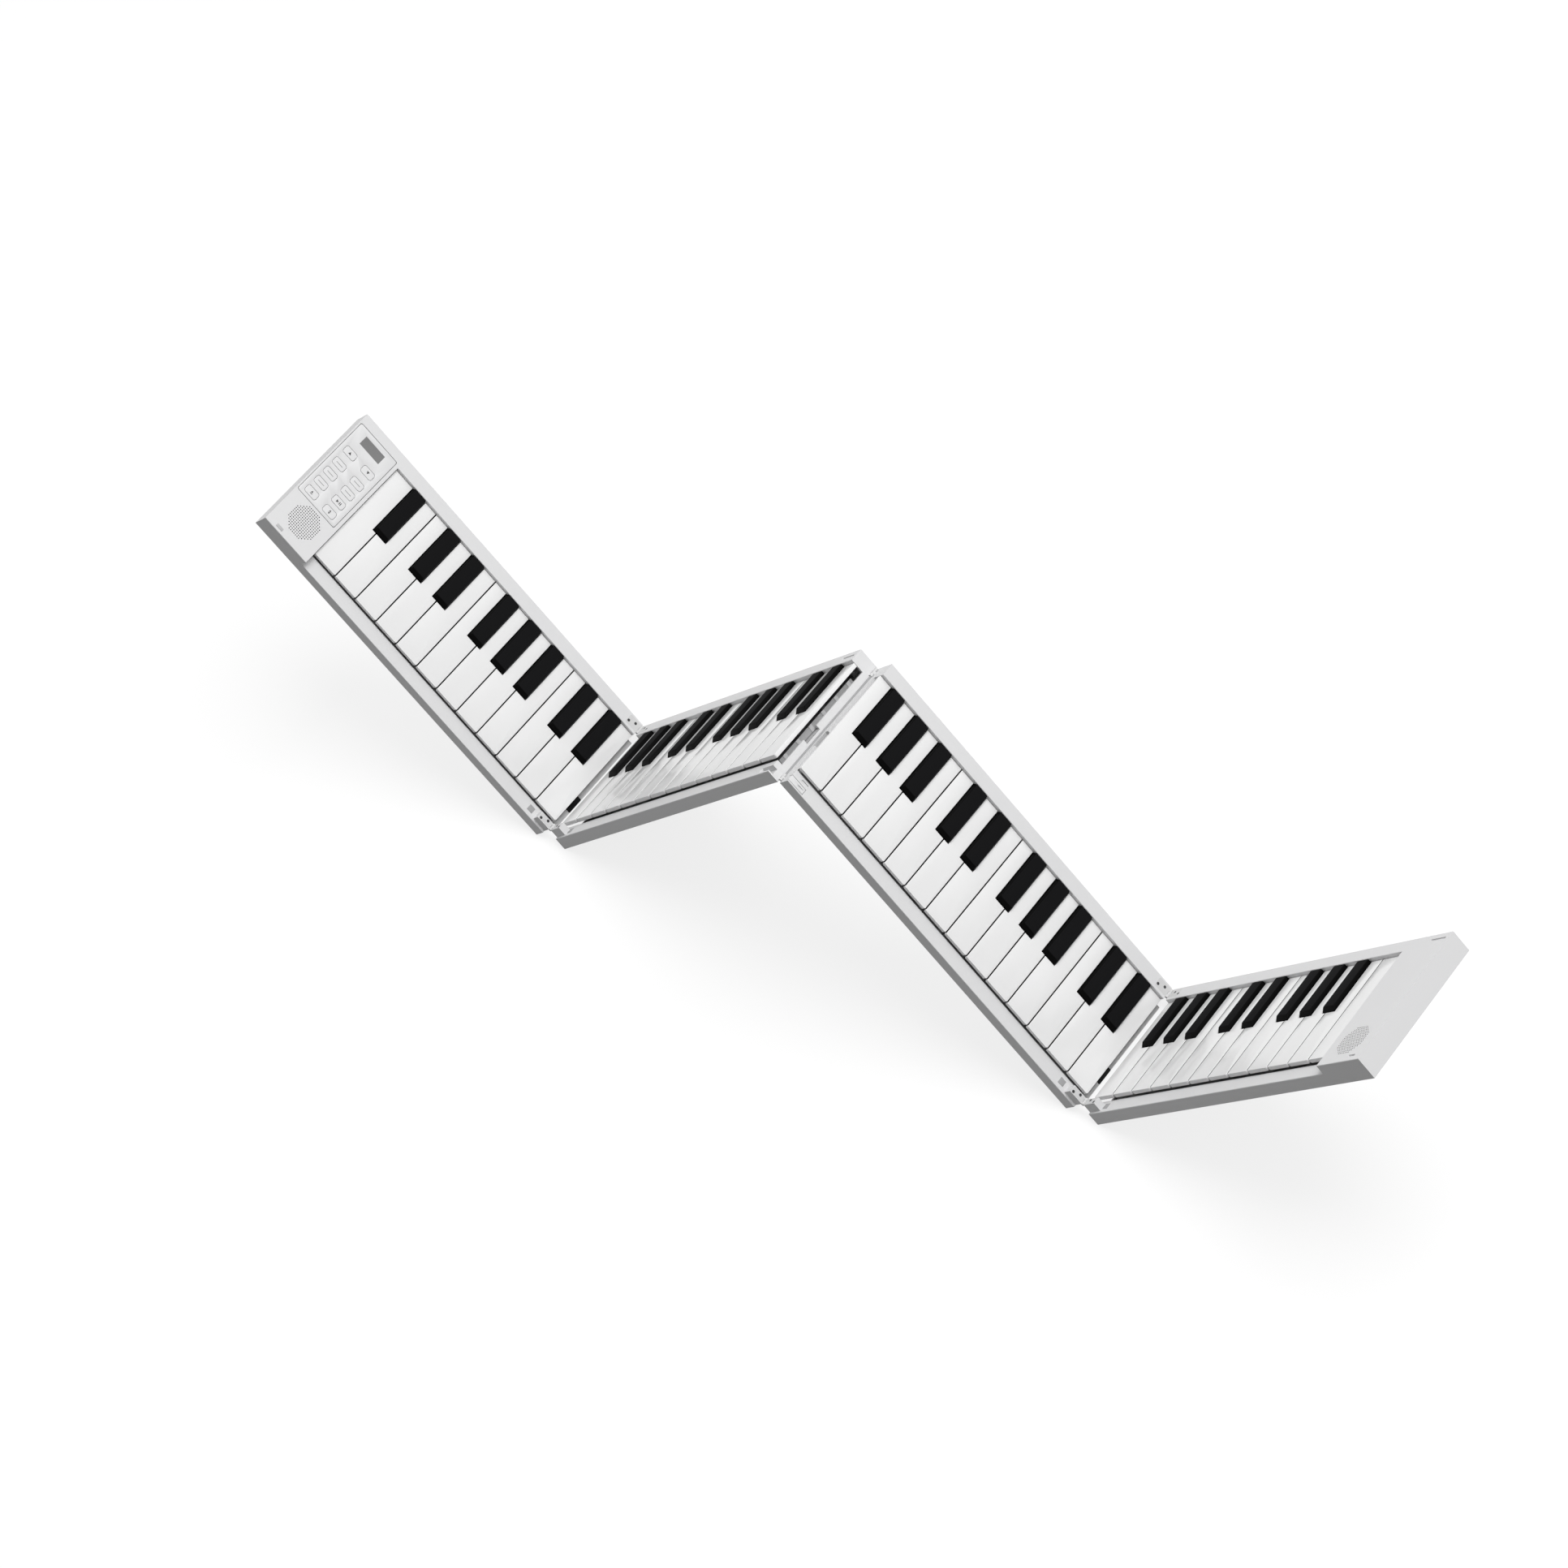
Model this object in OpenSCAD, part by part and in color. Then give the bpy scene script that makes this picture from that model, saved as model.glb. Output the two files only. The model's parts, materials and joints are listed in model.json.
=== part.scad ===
// Folding piano keyboard: four hinged panels, 88 keys, standing half folded as a zigzag.
// Each sub-part is drawn flat in its panel's own frame (u along the keys, y to the back,
// z up from the underside), and place() then tilts the panel and stands it on its fold.

/* [Panels] */
// Thickness of a panel, underside to the top of the rear rail
panel_height = 18; // [17:0.5:24]
// Width of the front lip, front face to the front of the keys
lip_width = 12.4; // [11.5:0.1:16]
// How far the top of the front lip lies under the tops of the white keys
lip_drop = 4.4; // [3.5:0.1:5.5]
// Width of the rear rail behind the keys
rail_width = 11.6; // [11:0.1:16]
// Wall thickness of the case
wall = 2; // [1.6:0.1:2.4]
// Thickness of the top plate of the rail and of the end blocks
top_thick = 2; // [1.6:0.1:2.4]
// Distance of each panel's end face from the middle of its key gap
end_gap = 0.5; // [0.3:0.1:0.9]
// Thickness of the base plate
base_thick = 1.6; // [1.2:0.1:2]
// Height of the low end wall at the folds
end_wall_height = 5.8; // [5:0.1:6.2]
// Radius of the long top edges of the rail, the lip and the end blocks
case_edge = 0.6; // [0.3:0.1:0.9]

/* [Keys] */
// Width of a white key with its gap
key_pitch = 23; // [22:0.1:24.5]
// Visible length of a white key
key_length = 98.5; // [94:0.5:112]
// Gap between two white keys
key_gap = 0.9; // [0.4:0.1:1.2]
// How far the tops of the white keys lie under the top of the rail
key_drop = 3; // [2.6:0.1:3.4]
// Height of a white key's visible side
key_skirt = 3.2; // [3:0.1:4]
// Radius of a white key's front corners
key_corner = 1.2; // [0.6:0.1:2]
// Length of a black key
black_length = 48.6; // [44:0.1:56]
// Width of a black key at its foot
black_width = 13.6; // [12:0.1:14]
// Taper of a black key's side, from foot to top
black_taper = 0.8; // [0.4:0.1:1.6]
// Length of the slope at a black key's front
black_slope = 2.9; // [1.4:0.1:5]
// Gap round a black key's foot
black_gap = 0.7; // [0.5:0.1:1]

/* [Hinges] */
// Angle of each panel to the table as the object stands
rest_tilt = 45; // [35:1:50]
// Height of a fold's axis over the face that it folds on
axis_rise = 0.35; // [0.3:0.05:0.6]
// Distance of a fold's axis past the middle of the key gap
axis_reach = 0.4; // [0.3:0.05:0.8]
// Radius of a hinge pin
pin_r = 0.6; // [0.5:0.05:0.7]
// Outer radius of a hinge knuckle
knuckle_r = 1.2; // [1.1:0.05:1.3]
// Length of a hinge leaf along the panel
leaf_length = 12.5; // [11:0.5:15]
// Thickness of a hinge leaf
leaf_thick = 0.8; // [0.6:0.1:1]
// Width of a front hinge leaf
front_leaf = 6; // [5.5:0.1:7]
// Width of a rear hinge leaf
rear_leaf = 8; // [7:0.1:8.6]
// Radius of a hinge leaf's two outer corners
leaf_corner = 1.5; // [0.5:0.1:2]
// Distance of the front hinge's middle from the front of the keys
front_hinge_back = 7.5; // [7:0.1:8]

/* [Controls] */
// Width of the control overlay, along the panel
overlay_w = 40.8; // [38:0.1:42]
// Distance of the overlay's left edge from the middle of the panel's end gap
overlay_left = 1.8; // [1.5:0.1:3]
// Distance of the overlay's front edge behind the front of the keys
overlay_front = 24; // [23:0.1:26]
// Distance of the overlay's back edge behind the back of the keys
overlay_back = 2.9; // [2:0.1:4]
// Thickness of the overlay
overlay_thick = 0.4; // [0.3:0.1:0.6]
// Width of a button, along the panel
button_w = 11.5; // [9:0.1:13]
// Depth of a button
button_d = 6.5; // [5:0.1:8]
// Corner radius of a button
button_r = 1.8; // [0.8:0.1:2.4]
// Spacing of the two button columns
button_cols = 19.8; // [16:0.1:22]
// Distance from the rearmost button row to the middle of the display
display_gap = 15.8; // [14:0.1:17]
// Extra spacing before the rearmost button row
last_row_step = 2; // [0:0.1:3]
// Width of the display, along the panel
display_w = 21; // [16:0.1:26]
// Depth of the display
display_d = 8.5; // [6:0.1:10]
// Radius of a loudspeaker grille
grille_r = 14.6; // [12:0.1:15.5]
// Spacing of the holes in a grille
grille_pitch = 1.75; // [1.6:0.05:3]
// Radius of a hole in a grille
grille_hole_r = 0.45; // [0.3:0.05:0.6]

/* [Hidden] */
$fn = 32;
PANELS = [1, 2, 3, 4];
WHITES = [12, 14, 14, 12];
FIRST_WHITE = [0, 12, 26, 40];
LETTERS = 7;
LETTER_C = 2;
LETTER_F = 5;
// Side step of the black key before the white key A, B, C, D, E, F or G, in black key widths
SIDE_STEP = [0, 1 / 4, 0, -1 / 6, 1 / 6, 0, -1 / 4];
COLUMNS = 2;
ROWS = 5;
clear = 0.3;
fit = 0.1;
run = 0.05;
eps = 0.01;

module_len = 14 * key_pitch;
block_len = 2 * key_pitch;
panel_depth = lip_width + key_length + rail_width;
y_front = -panel_depth / 2;
y_key = y_front + lip_width;
y_rail = y_key + key_length;
y_back = y_rail + rail_width;
z_key = panel_height - key_drop;
z_lip = z_key - lip_drop;
z_under = z_key - key_skirt;
lip_thick = 1.6;
lip_gap = 0.7;
lip_inner = 1.2;
y_lip = y_key - lip_gap;
rail_inner = 1.4;
rail_gap_drop = 1;
z_rail_gap = z_key - rail_gap_drop;
block_edge = 0.4;
boss_in = 1;

// Places of the folds in the standing object
axis_z = panel_height + axis_rise;
fold_height = axis_z * cos(rest_tilt) - (axis_reach + end_gap) * sin(rest_tilt);
fold_span = (module_len + 2 * axis_reach) * cos(rest_tilt)
    + (panel_height + 2 * axis_rise) * sin(rest_tilt);

// Pivot of the keys under the rear rail
pivot_back = 3.2;
pivot_drop = 1.3;
pivot_y = y_rail + pivot_back;
pivot_z = z_under - pivot_drop;
rod_r = 1;
hook_r = 2;
tongue_w = 4.4;
white_contact_in = 50;
black_contact_in = 66;
white_contact_y = y_key + white_contact_in;
black_contact_y = y_key + black_contact_in;
plunger = 4;
plunger_rise = 6.6;
plunger_z = base_thick + plunger_rise;
plunger_root = 0.5;
key_skin = 1.4;
black_drop = 0.2;
black_front_rise = 0.4;
tail_lap = 6;
rib_thick = 1;
rib_half = 1.6;
end_room = end_gap + wall + rib_thick + tongue_w / 2 + 2 * clear;

// Contact board under the keys
board_rise = 1.6;
board_z = base_thick + board_rise;
board_thick = 1.2;
board_front_in = 38;
board_back_in = 78;
board_front = y_key + board_front_in;
board_back = y_key + board_back_in;
board_inset = 9;
strip_thick = 0.6;
dome_r = 3;
dome_high = 1;
strip_half = 5;
post_in_u = 5;
post_in_y = 4;
post_r = 2.4;
post_hole_r = 1;

// Base plate, screws and feet
rebate = 0.5;
rim = wall - rebate;
screw_end = 24;
screw_corner = 7;
screw_front = 5;
screw_r = 1;
head_r = 1.7;
head_thick = 0.9;
head_sink = 1;
boss_r = 2.2;
boss_sink = 0.4;
screw_rear = wall + boss_r - boss_sink;
screw_reach = 5.5;
foot_r = 5;
foot_out = 0.3;
foot_sink = 0.8;
foot_end = 40;
foot_inset = 22;

// Hinge leaf screws: staggered pair
leaf_screw_r = 0.6;
leaf_head_r = 1.2;
leaf_head_thick = 0.4;
leaf_screw_in = [5.4, 11.3];
leaf_stagger = [1.2, -1.2];
leaf_screw_len = 1.6;
leaf_set_back = 0.5;
leaf_arm_lap = 1;
hinge_block_len = 13;
rear_hinge_in = 6.2;
rear_hinge_y = y_rail + rear_hinge_in;
front_hinge_y = y_key - front_hinge_back;
notch_r = knuckle_r + clear;

// Tongue of the case that bridges an inward fold under the keys
tongue_out = 5.6;
tongue_rise = 1.5;
tongue_top = end_wall_height + tongue_rise;
tongue_thick = 0.6;
tongue_inset = 1;
far_wall_height = 3.4;

// Flat ribbon cables
ribbon_w = 15;
ridge_lap = 1;
ridge_run = board_inset + ridge_lap;
ribbon_thick = 0.3;
ribbon_front = 17;
ridge_ribbon_front = 26;
ribbon_run = 34;
ribbon_z = 2.4;

// End blocks
grille_u = 23.8;
grille_in = 8.9;
grille_y = y_key + grille_in;
button_u = 12;
first_row = 6.6;
button_y = y_key + overlay_front + first_row;
button_cap = 1.6;
button_stem_r = 1.6;
button_travel = 0.5;
display_shift = 0.2;
display_u = button_u - display_shift;
display_back = 9;
display_y = y_rail + overlay_back - display_back;
display_thick = 1;
overlay_d = key_length + overlay_back - overlay_front;
button_rows = (display_y - display_gap - button_y - last_row_step) / (ROWS - 1);
main_in = 2;
main_left = 2.45;
main_right = 5.05;
main_drop = 8;
main_z = panel_height - main_drop;
main_thick = 1.2;
switch_r = 2.2;
switch_high = 1.2;
speaker_rim = 1.2;
grille_margin = 1;
grille_rows = floor((grille_r - grille_margin) / grille_pitch);
overlay_corner = 1.5;
battery = [36, 62, 9];
battery_corner = 3;
battery_back = 62;
socket = [9.2, 7.4, 3.4];
socket_skin = 0.3;
socket_bed = 1;
socket_tongue = [6.6, 0.8];
socket_u = 30;
power_u = 14;
power_w = 8;
power_h = 3.4;
power_lap = 2;
power_deep = wall + power_lap;
port_z = 8;

// Slide lock over the outward fold, and the catch slots
lock_len = 15;
lock_w = 4.5;
lock_thick = 4;
lock_bed_skin = 1.2;
lock_bed_run = 3;
lock_ahead = 8.7;
lock_y = y_key - lock_ahead;
catch_len = 7;
catch_w = 1.8;
catch_deep = 1;
catch_in = 11.8;
long_catch = 16;

// Square stops let into the lips near the inward folds: distance from the fold's end, middle and sizes
stop_in = [19.8, 17.4];
stop_ahead = 6.5;
stop_y = y_key - stop_ahead;
stop_w = [5.4, 5.8];
stop_d = 5;
stop_deep = 0.8;
stop_out = 0.2;

// ---- places -------------------------------------------------------------

function is_even(n) = n % 2 == 0;
function fold_x(n) = n < 3 ? -fold_span : fold_span;
function tilt(n) = is_even(n) ? -rest_tilt : rest_tilt;
function valley_u(n) = is_even(n) ? -axis_reach : module_len + axis_reach;
function key_start(n) = n == 1 ? block_len : 0;
function key_end(n) = key_start(n) + WHITES[n - 1] * key_pitch;
function whites(n) = WHITES[n - 1];
function letter(n, k) = (FIRST_WHITE[n - 1] + k) % LETTERS;
function has_black(n, k) = k > 0 && k < whites(n) && letter(n, k) != LETTER_C && letter(n, k) != LETTER_F;
function bound_u(n, k) = key_start(n) + k * key_pitch;
function side_step(n, k) = SIDE_STEP[letter(n, k)] * black_width;
function kind(n) = is_even(n) ? 1 : 0;

// Tilts a flat panel and stands it on its inward fold.
module place(n) {
    translate([fold_x(n), 0, fold_height])
        rotate([0, tilt(n), 0])
            translate([-valley_u(n), 0, -axis_z])
                children();
}

// Draws at the panel's right end as drawn, or at its left end mirrored.
module at_end(right) {
    if (right)
        children();
    else
        translate([module_len, 0, 0])
            mirror([1, 0, 0])
                children();
}

// Inward folds are at the right of panels 1 and 3 and at the left of 2 and 4.
module at_valley(n) {
    at_end(!is_even(n))
        children();
}

module rounded_rect(w, d, r) {
    union() {
        translate([-w / 2 + r, -d / 2])
            square([w - 2 * r, d]);
        translate([-w / 2, -d / 2 + r])
            square([w, d - 2 * r]);
        for (sx = [-1, 1], sy = [-1, 1])
            translate([sx * (w / 2 - r), sy * (d / 2 - r)])
                circle(r);
    }
}

module bar(u0, u1, y0, y1, z0, z1) {
    translate([u0, y0, z0])
        cube([u1 - u0, y1 - y0, z1 - z0]);
}

// A bar along the panel whose two long top edges are rounded.
module edged_bar(u0, u1, y0, y1, z1) {
    translate([u0, 0, 0])
        rotate([90, 0, 90])
            linear_extrude(u1 - u0)
                union() {
                    translate([y0, 0])
                        square([y1 - y0, z1 - case_edge]);
                    translate([y0 + case_edge, 0])
                        square([y1 - y0 - 2 * case_edge, z1]);
                    for (y = [y0 + case_edge, y1 - case_edge])
                        translate([y, z1 - case_edge])
                            circle(case_edge);
                }
}

// ---- case ---------------------------------------------------------------

module screw_places(n) {
    left = n == 1 ? screw_corner : screw_end;
    right = n == 4 ? screw_corner : screw_end;
    for (u = [left, module_len / 2, module_len - right], y = [y_front + screw_front, y_back - screw_rear])
        translate([u, y, 0])
            children();
}

module end_wall(right, high) {
    at_end(right)
        bar(module_len - end_gap - wall, module_len - end_gap, y_front + wall, y_back - wall, 0, high);
}

module case_block(n) {
    at_end(n == 4)
        edged_bar(module_len - block_len + block_edge, module_len - end_gap, y_front, y_back, panel_height);
}

module block_hollow(n) {
    at_end(n == 4)
        bar(module_len - block_len + block_edge + wall, module_len - end_gap - wall,
            y_front + wall, y_back - wall, -1, panel_height - top_thick);
}

module hinge_block(n) {
    at_valley(n)
        bar(module_len - end_gap - hinge_block_len, module_len - end_gap,
            front_hinge_y - front_leaf / 2, front_hinge_y + front_leaf / 2, z_lip - lip_thick, panel_height);
}

// Plate of a hinge leaf, its two outer corners rounded, from its end to u1.
module leaf_plate(u1, y, w, z0, z1) {
    u0 = module_len - end_gap - leaf_length;
    translate([0, 0, z0])
        linear_extrude(z1 - z0)
            union() {
                translate([u0 + leaf_corner, y - w / 2])
                    square([u1 - u0 - leaf_corner, w]);
                translate([u0, y - w / 2 + leaf_corner])
                    square([2 * leaf_corner, w - 2 * leaf_corner]);
                for (side = [-1, 1])
                    translate([u0 + leaf_corner, y + side * (w / 2 - leaf_corner)])
                        circle(leaf_corner);
            }
}

// Cuts for one hinge leaf and for the knuckles of both leaves.
module leaf_cut(y, w, z0, z1, zc) {
    leaf_plate(module_len + 1, y, w, z0, z1);
    translate([module_len + axis_reach, y - w / 2 - clear, zc])
        rotate([-90, 0, 0])
            cylinder(r = notch_r, h = w + 2 * clear);
}

module valley_cuts(n) {
    at_valley(n)
        for (h = [[front_hinge_y, front_leaf], [rear_hinge_y, rear_leaf]])
            leaf_cut(h[0], h[1], panel_height - leaf_thick, panel_height + 1, axis_z);
}

module ridge_cuts(n) {
    at_end(n == 2)
        for (h = [[front_hinge_y, front_leaf], [rear_hinge_y, rear_leaf]])
            leaf_cut(h[0], h[1], -1, leaf_thick, -axis_rise);
}

module leaf_screw_cuts(n) {
    at_valley(n)
        leaf_screw_places()
            translate([0, 0, panel_height - leaf_thick - leaf_screw_len])
                cylinder(r = leaf_screw_r, h = leaf_screw_len + 1);
}

module leaf_screw_places() {
    for (y = [front_hinge_y, rear_hinge_y], i = [0, 1])
        translate([module_len - leaf_screw_in[i], y + leaf_stagger[i], 0])
            children();
}

module catch_slot(right, y, len, z) {
    at_end(right)
        bar(module_len - catch_in - len / 2, module_len - catch_in + len / 2,
            y - catch_w / 2, y + catch_w / 2, z - catch_deep, z + 1);
}

module lock_channel(right, len) {
    at_end(right)
        bar(module_len - end_gap - len, module_len + 1, lock_y - lock_w / 2 - clear,
            lock_y + lock_w / 2 + clear, z_lip - lock_thick - clear, z_lip + 1);
}

module lock_bed(right) {
    at_end(right)
        bar(module_len - end_gap - lock_len - lock_bed_run, module_len - end_gap, y_front + rim, y_lip,
            z_lip - lock_thick - clear - lock_bed_skin, z_lip - case_edge);
}

module stop_box(n, gap, z0, z1) {
    at_valley(n)
        bar(module_len - stop_in[kind(n)] - stop_w[kind(n)] / 2 - gap, module_len - stop_in[kind(n)] + stop_w[kind(n)] / 2 + gap,
            stop_y - stop_d / 2 - gap, stop_y + stop_d / 2 + gap, z0, z1);
}

module top_case(n) {
    k0 = key_start(n);
    k1 = key_end(n);
    color("white") place(n) difference() {
        union() {
            difference() {
                union() {
                    edged_bar(end_gap, module_len - end_gap, y_rail, y_back, panel_height);
                    edged_bar(end_gap, module_len - end_gap, y_front, y_lip, z_lip);
                    if (n == 1 || n == 4)
                        case_block(n);
                }
                bar(end_gap + wall, module_len - end_gap - wall, y_rail + rail_inner, y_back - wall,
                    -1, panel_height - top_thick);
                bar(end_gap + wall, module_len - end_gap - wall, y_front + wall, y_lip - lip_inner,
                    -1, z_lip - lip_thick);
                bar(max(k0 - eps, end_gap + wall), min(k1 + eps, module_len - end_gap - wall),
                    y_rail - 1, y_rail + rail_inner + eps, -1, z_rail_gap);
                if (n == 1 || n == 4)
                    block_hollow(n);
            }
            if (n > 1)
                end_wall(false, is_even(n) ? far_wall_height : end_wall_height);
            if (n < 4)
                end_wall(true, n == 2 ? end_wall_height : tongue_top - tongue_thick);
            if (n == 1 || n == 3)
                bar(module_len - end_gap - wall, module_len + tongue_out, y_key + tongue_inset, y_rail - tongue_inset,
                    tongue_top - tongue_thick, tongue_top);
            hinge_block(n);
            if (n == 2)
                lock_bed(true);
            if (n == 3)
                lock_bed(false);
            intersection() {
                screw_places(n)
                    translate([0, 0, base_thick])
                        cylinder(r = boss_r, h = panel_height - base_thick - boss_in);
                union() {
                    bar(0, module_len, y_front + boss_in, y_lip - boss_in, 0, z_lip - boss_in);
                    bar(0, module_len, y_rail + boss_in, y_back - boss_in, 0, panel_height - boss_in);
                    if (n == 1 || n == 4)
                        at_end(n == 4)
                            bar(module_len - block_len + block_edge, module_len - boss_in, y_front + boss_in,
                                y_back - boss_in, 0, panel_height - boss_in);
                }
            }
            if (n == 1)
                main_board_places()
                    translate([0, 0, main_z + main_thick])
                        cylinder(r = boss_r, h = panel_height - boss_in - main_z - main_thick);
        }
        bar(end_gap + rim, module_len - end_gap - rim, y_front + rim, y_back - rim, -1, base_thick);
        screw_places(n)
            cylinder(r = screw_r, h = head_sink + screw_reach);
        valley_cuts(n);
        leaf_screw_cuts(n);
        stop_box(n, 0, z_lip - stop_deep, z_lip + 1);
        if (n == 2 || n == 3)
            ridge_cuts(n);
        if (n == 2) {
            lock_channel(true, lock_len);
            catch_slot(true, y_rail + 6, long_catch, panel_height);
        }
        if (n == 3) {
            lock_channel(false, lock_len);
            catch_slot(false, y_key - 3.6, catch_len, z_lip);
        }
        if (n == 4) {
            catch_slot(true, y_key - 7.5, catch_len, panel_height);
            catch_slot(true, y_rail + 6, long_catch, panel_height);
            translate([module_len - grille_u, grille_y, panel_height - top_thick - 1])
                cylinder(r = grille_r, h = top_thick + 2);
        }
        if (n == 1)
            control_cuts();
        ribbon_gaps(n);
    }
}

// Way out for the ribbon cables through the low end walls of an outward fold.
module ribbon_gaps(n) {
    if (n == 2 || n == 3)
        at_end(n == 2)
            bar(module_len - end_gap - wall - 1, module_len + 1, y_key + ridge_ribbon_front - clear,
                y_key + ridge_ribbon_front + ribbon_w + clear, ribbon_z - clear, end_wall_height + 1);
}

module base_plate(n) {
    color("gainsboro") place(n) difference() {
        union() {
            bar(end_gap + rim + fit, module_len - end_gap - rim - fit, y_front + rim + fit, y_back - rim - fit, 0, base_thick);
            pivot_ribs(n);
            board_posts(n)
                cylinder(r = post_r, h = board_z);
        }
        screw_places(n) {
            translate([0, 0, -1])
                cylinder(r = screw_r, h = base_thick + 2);
            translate([0, 0, -1])
                cylinder(r = head_r + fit, h = 1 + head_sink);
        }
        foot_places()
            translate([0, 0, -1])
                cylinder(r = foot_r, h = 1 + foot_sink);
        if (n == 2 || n == 3) {
            ridge_cuts(n);
            at_end(n == 2)
                leaf_screw_places()
                    translate([0, 0, -1])
                        cylinder(r = leaf_screw_r, h = base_thick + 2);
        }
    }
}

// Rod that the keys hook over, on ribs where no key has its hook.
module pivot_ribs(n) {
    k0 = key_start(n);
    k1 = key_end(n);
    inset = end_gap + wall + clear;
    translate([max(k0, inset), pivot_y, pivot_z])
        rotate([0, 90, 0])
            cylinder(r = rod_r, h = min(k1, module_len - inset) - max(k0, inset));
    for (k = [0:whites(n)])
        if (!has_black(n, k)) {
            u = min(max(bound_u(n, k) - rib_thick / 2, inset), module_len - inset - rib_thick);
            bar(u, u + rib_thick, pivot_y - rib_half, pivot_y + rib_half, base_thick / 2, pivot_z);
        }
}

module board_posts(n) {
    for (u = [key_start(n) + board_inset + post_in_u, (key_start(n) + key_end(n)) / 2,
              key_end(n) - board_inset - post_in_u],
         y = [board_front + post_in_y, board_back - post_in_y])
        translate([u, y, 0])
            children();
}

// ---- keys ---------------------------------------------------------------

module key_hook() {
    translate([-tongue_w / 2, pivot_y, pivot_z])
        rotate([0, 90, 0])
            difference() {
                cylinder(r = hook_r, h = tongue_w);
                translate([0, 0, -1])
                    cylinder(r = rod_r + run, h = tongue_w + 2);
                translate([0, -hook_r - 1, -1])
                    cube([hook_r + 1, 2 * hook_r + 2, tongue_w + 2]);
            }
}

module key_tail() {
    bar(-tongue_w / 2, tongue_w / 2, y_rail - tail_lap, pivot_y, pivot_z + rod_r + run + clear, z_rail_gap - clear);
    key_hook();
}

module white_outline(n, k) {
    u0 = k == 0 ? max(key_gap / 2, end_gap) : key_gap / 2;
    u1 = key_pitch - (k == whites(n) - 1 ? max(key_gap / 2, end_gap) : key_gap / 2);
    left = black_width / 2 + black_gap + side_step(n, k);
    right = black_width / 2 + black_gap - side_step(n, k + 1);
    difference() {
        union() {
            translate([u0 + key_corner, 0])
                square([u1 - u0 - 2 * key_corner, key_length - clear]);
            translate([u0, key_corner])
                square([u1 - u0, key_length - clear - key_corner]);
            for (u = [u0 + key_corner, u1 - key_corner])
                translate([u, key_corner])
                    circle(key_corner);
        }
        if (has_black(n, k))
            translate([-1, key_length - black_length - black_gap])
                square([left + 1, black_length + 2]);
        if (has_black(n, k + 1))
            translate([key_pitch - right, key_length - black_length - black_gap])
                square([right + 1, black_length + 2]);
    }
}

// Middle of a white key's tail, between the black keys beside it and clear of the rod's end ribs.
function tail_middle(n, k) =
    ((has_black(n, k) ? black_width / 2 + side_step(n, k) : 0)
        + key_pitch - (has_black(n, k + 1) ? black_width / 2 - side_step(n, k + 1) : 0)) / 2;
function tail_centre(n, k) =
    k == 0 ? max(tail_middle(n, k), end_room)
        : k == whites(n) - 1 ? min(tail_middle(n, k), key_pitch - end_room)
        : tail_middle(n, k);

module white_key(n, k) {
    front = key_length - black_length - black_gap;
    tail = tail_centre(n, k);
    difference() {
        translate([0, y_key, z_under])
            linear_extrude(key_skirt)
                white_outline(n, k);
        bar(key_gap / 2 + key_skin + clear, key_pitch - key_gap / 2 - key_skin - clear,
            y_key + key_skin, y_key + front - key_skin, z_under - 1, z_key - key_skin);
    }
    bar(tail - plunger / 2, tail + plunger / 2, white_contact_y - plunger / 2, white_contact_y + plunger / 2,
        plunger_z, z_under + plunger_root);
    translate([tail, 0, 0])
        key_tail();
}

module white_keys(n) {
    color("ivory") place(n)
        for (k = [0:whites(n) - 1])
            translate([bound_u(n, k), 0, 0])
                white_key(n, k);
}

module black_key() {
    high = panel_height - black_drop - z_under;
    back = y_rail - clear;
    front = y_rail - black_length;
    intersection() {
        translate([0, back, z_under])
            rotate([90, 0, 0])
                linear_extrude(back - front)
                    polygon([
                        [-black_width / 2, 0], [black_width / 2, 0],
                        [black_width / 2, key_skirt], [black_width / 2 - black_taper, high],
                        [-black_width / 2 + black_taper, high], [-black_width / 2, key_skirt]
                    ]);
        translate([-black_width, 0, 0])
            rotate([90, 0, 90])
                linear_extrude(2 * black_width)
                    polygon([
                        [back, z_under], [front, z_under], [front, z_key + black_front_rise],
                        [front + black_slope, z_under + high], [back, z_under + high]
                    ]);
    }
    bar(-plunger / 2, plunger / 2, black_contact_y - plunger / 2, black_contact_y + plunger / 2,
        plunger_z, z_under + plunger_root);
    key_tail();
}

module black_keys(n) {
    color("black") place(n)
        for (k = [1:whites(n) - 1])
            if (has_black(n, k))
                translate([bound_u(n, k) + side_step(n, k), 0, 0])
                    black_key();
}

// Circuit board with a rubber dome strip under each row of plungers.
module contact_board(n) {
    u0 = key_start(n) + board_inset;
    u1 = key_end(n) - board_inset;
    strip_z = board_z + board_thick;
    place(n) {
        color("darkgreen")
            difference() {
                bar(u0, u1, board_front, board_back, board_z, strip_z);
                board_posts(n)
                    translate([0, 0, board_z - 1])
                        cylinder(r = post_hole_r, h = board_thick + 2);
            }
        color("dimgray") {
            bar(u0, u1, white_contact_y - strip_half, white_contact_y + strip_half, strip_z, strip_z + strip_thick);
            for (k = [0:whites(n) - 1])
                translate([bound_u(n, k) + tail_centre(n, k), white_contact_y, strip_z + strip_thick - eps])
                    cylinder(r1 = dome_r, r2 = dome_r / 2, h = dome_high);
            bar(u0, u1, black_contact_y - strip_half, black_contact_y + strip_half, strip_z, strip_z + strip_thick);
            for (k = [1:whites(n) - 1])
                if (has_black(n, k))
                    translate([bound_u(n, k) + side_step(n, k), black_contact_y, strip_z + strip_thick - eps])
                        cylinder(r1 = dome_r, r2 = dome_r / 2, h = dome_high);
        }
    }
}

// ---- cables, screws, feet ----------------------------------------------

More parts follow.
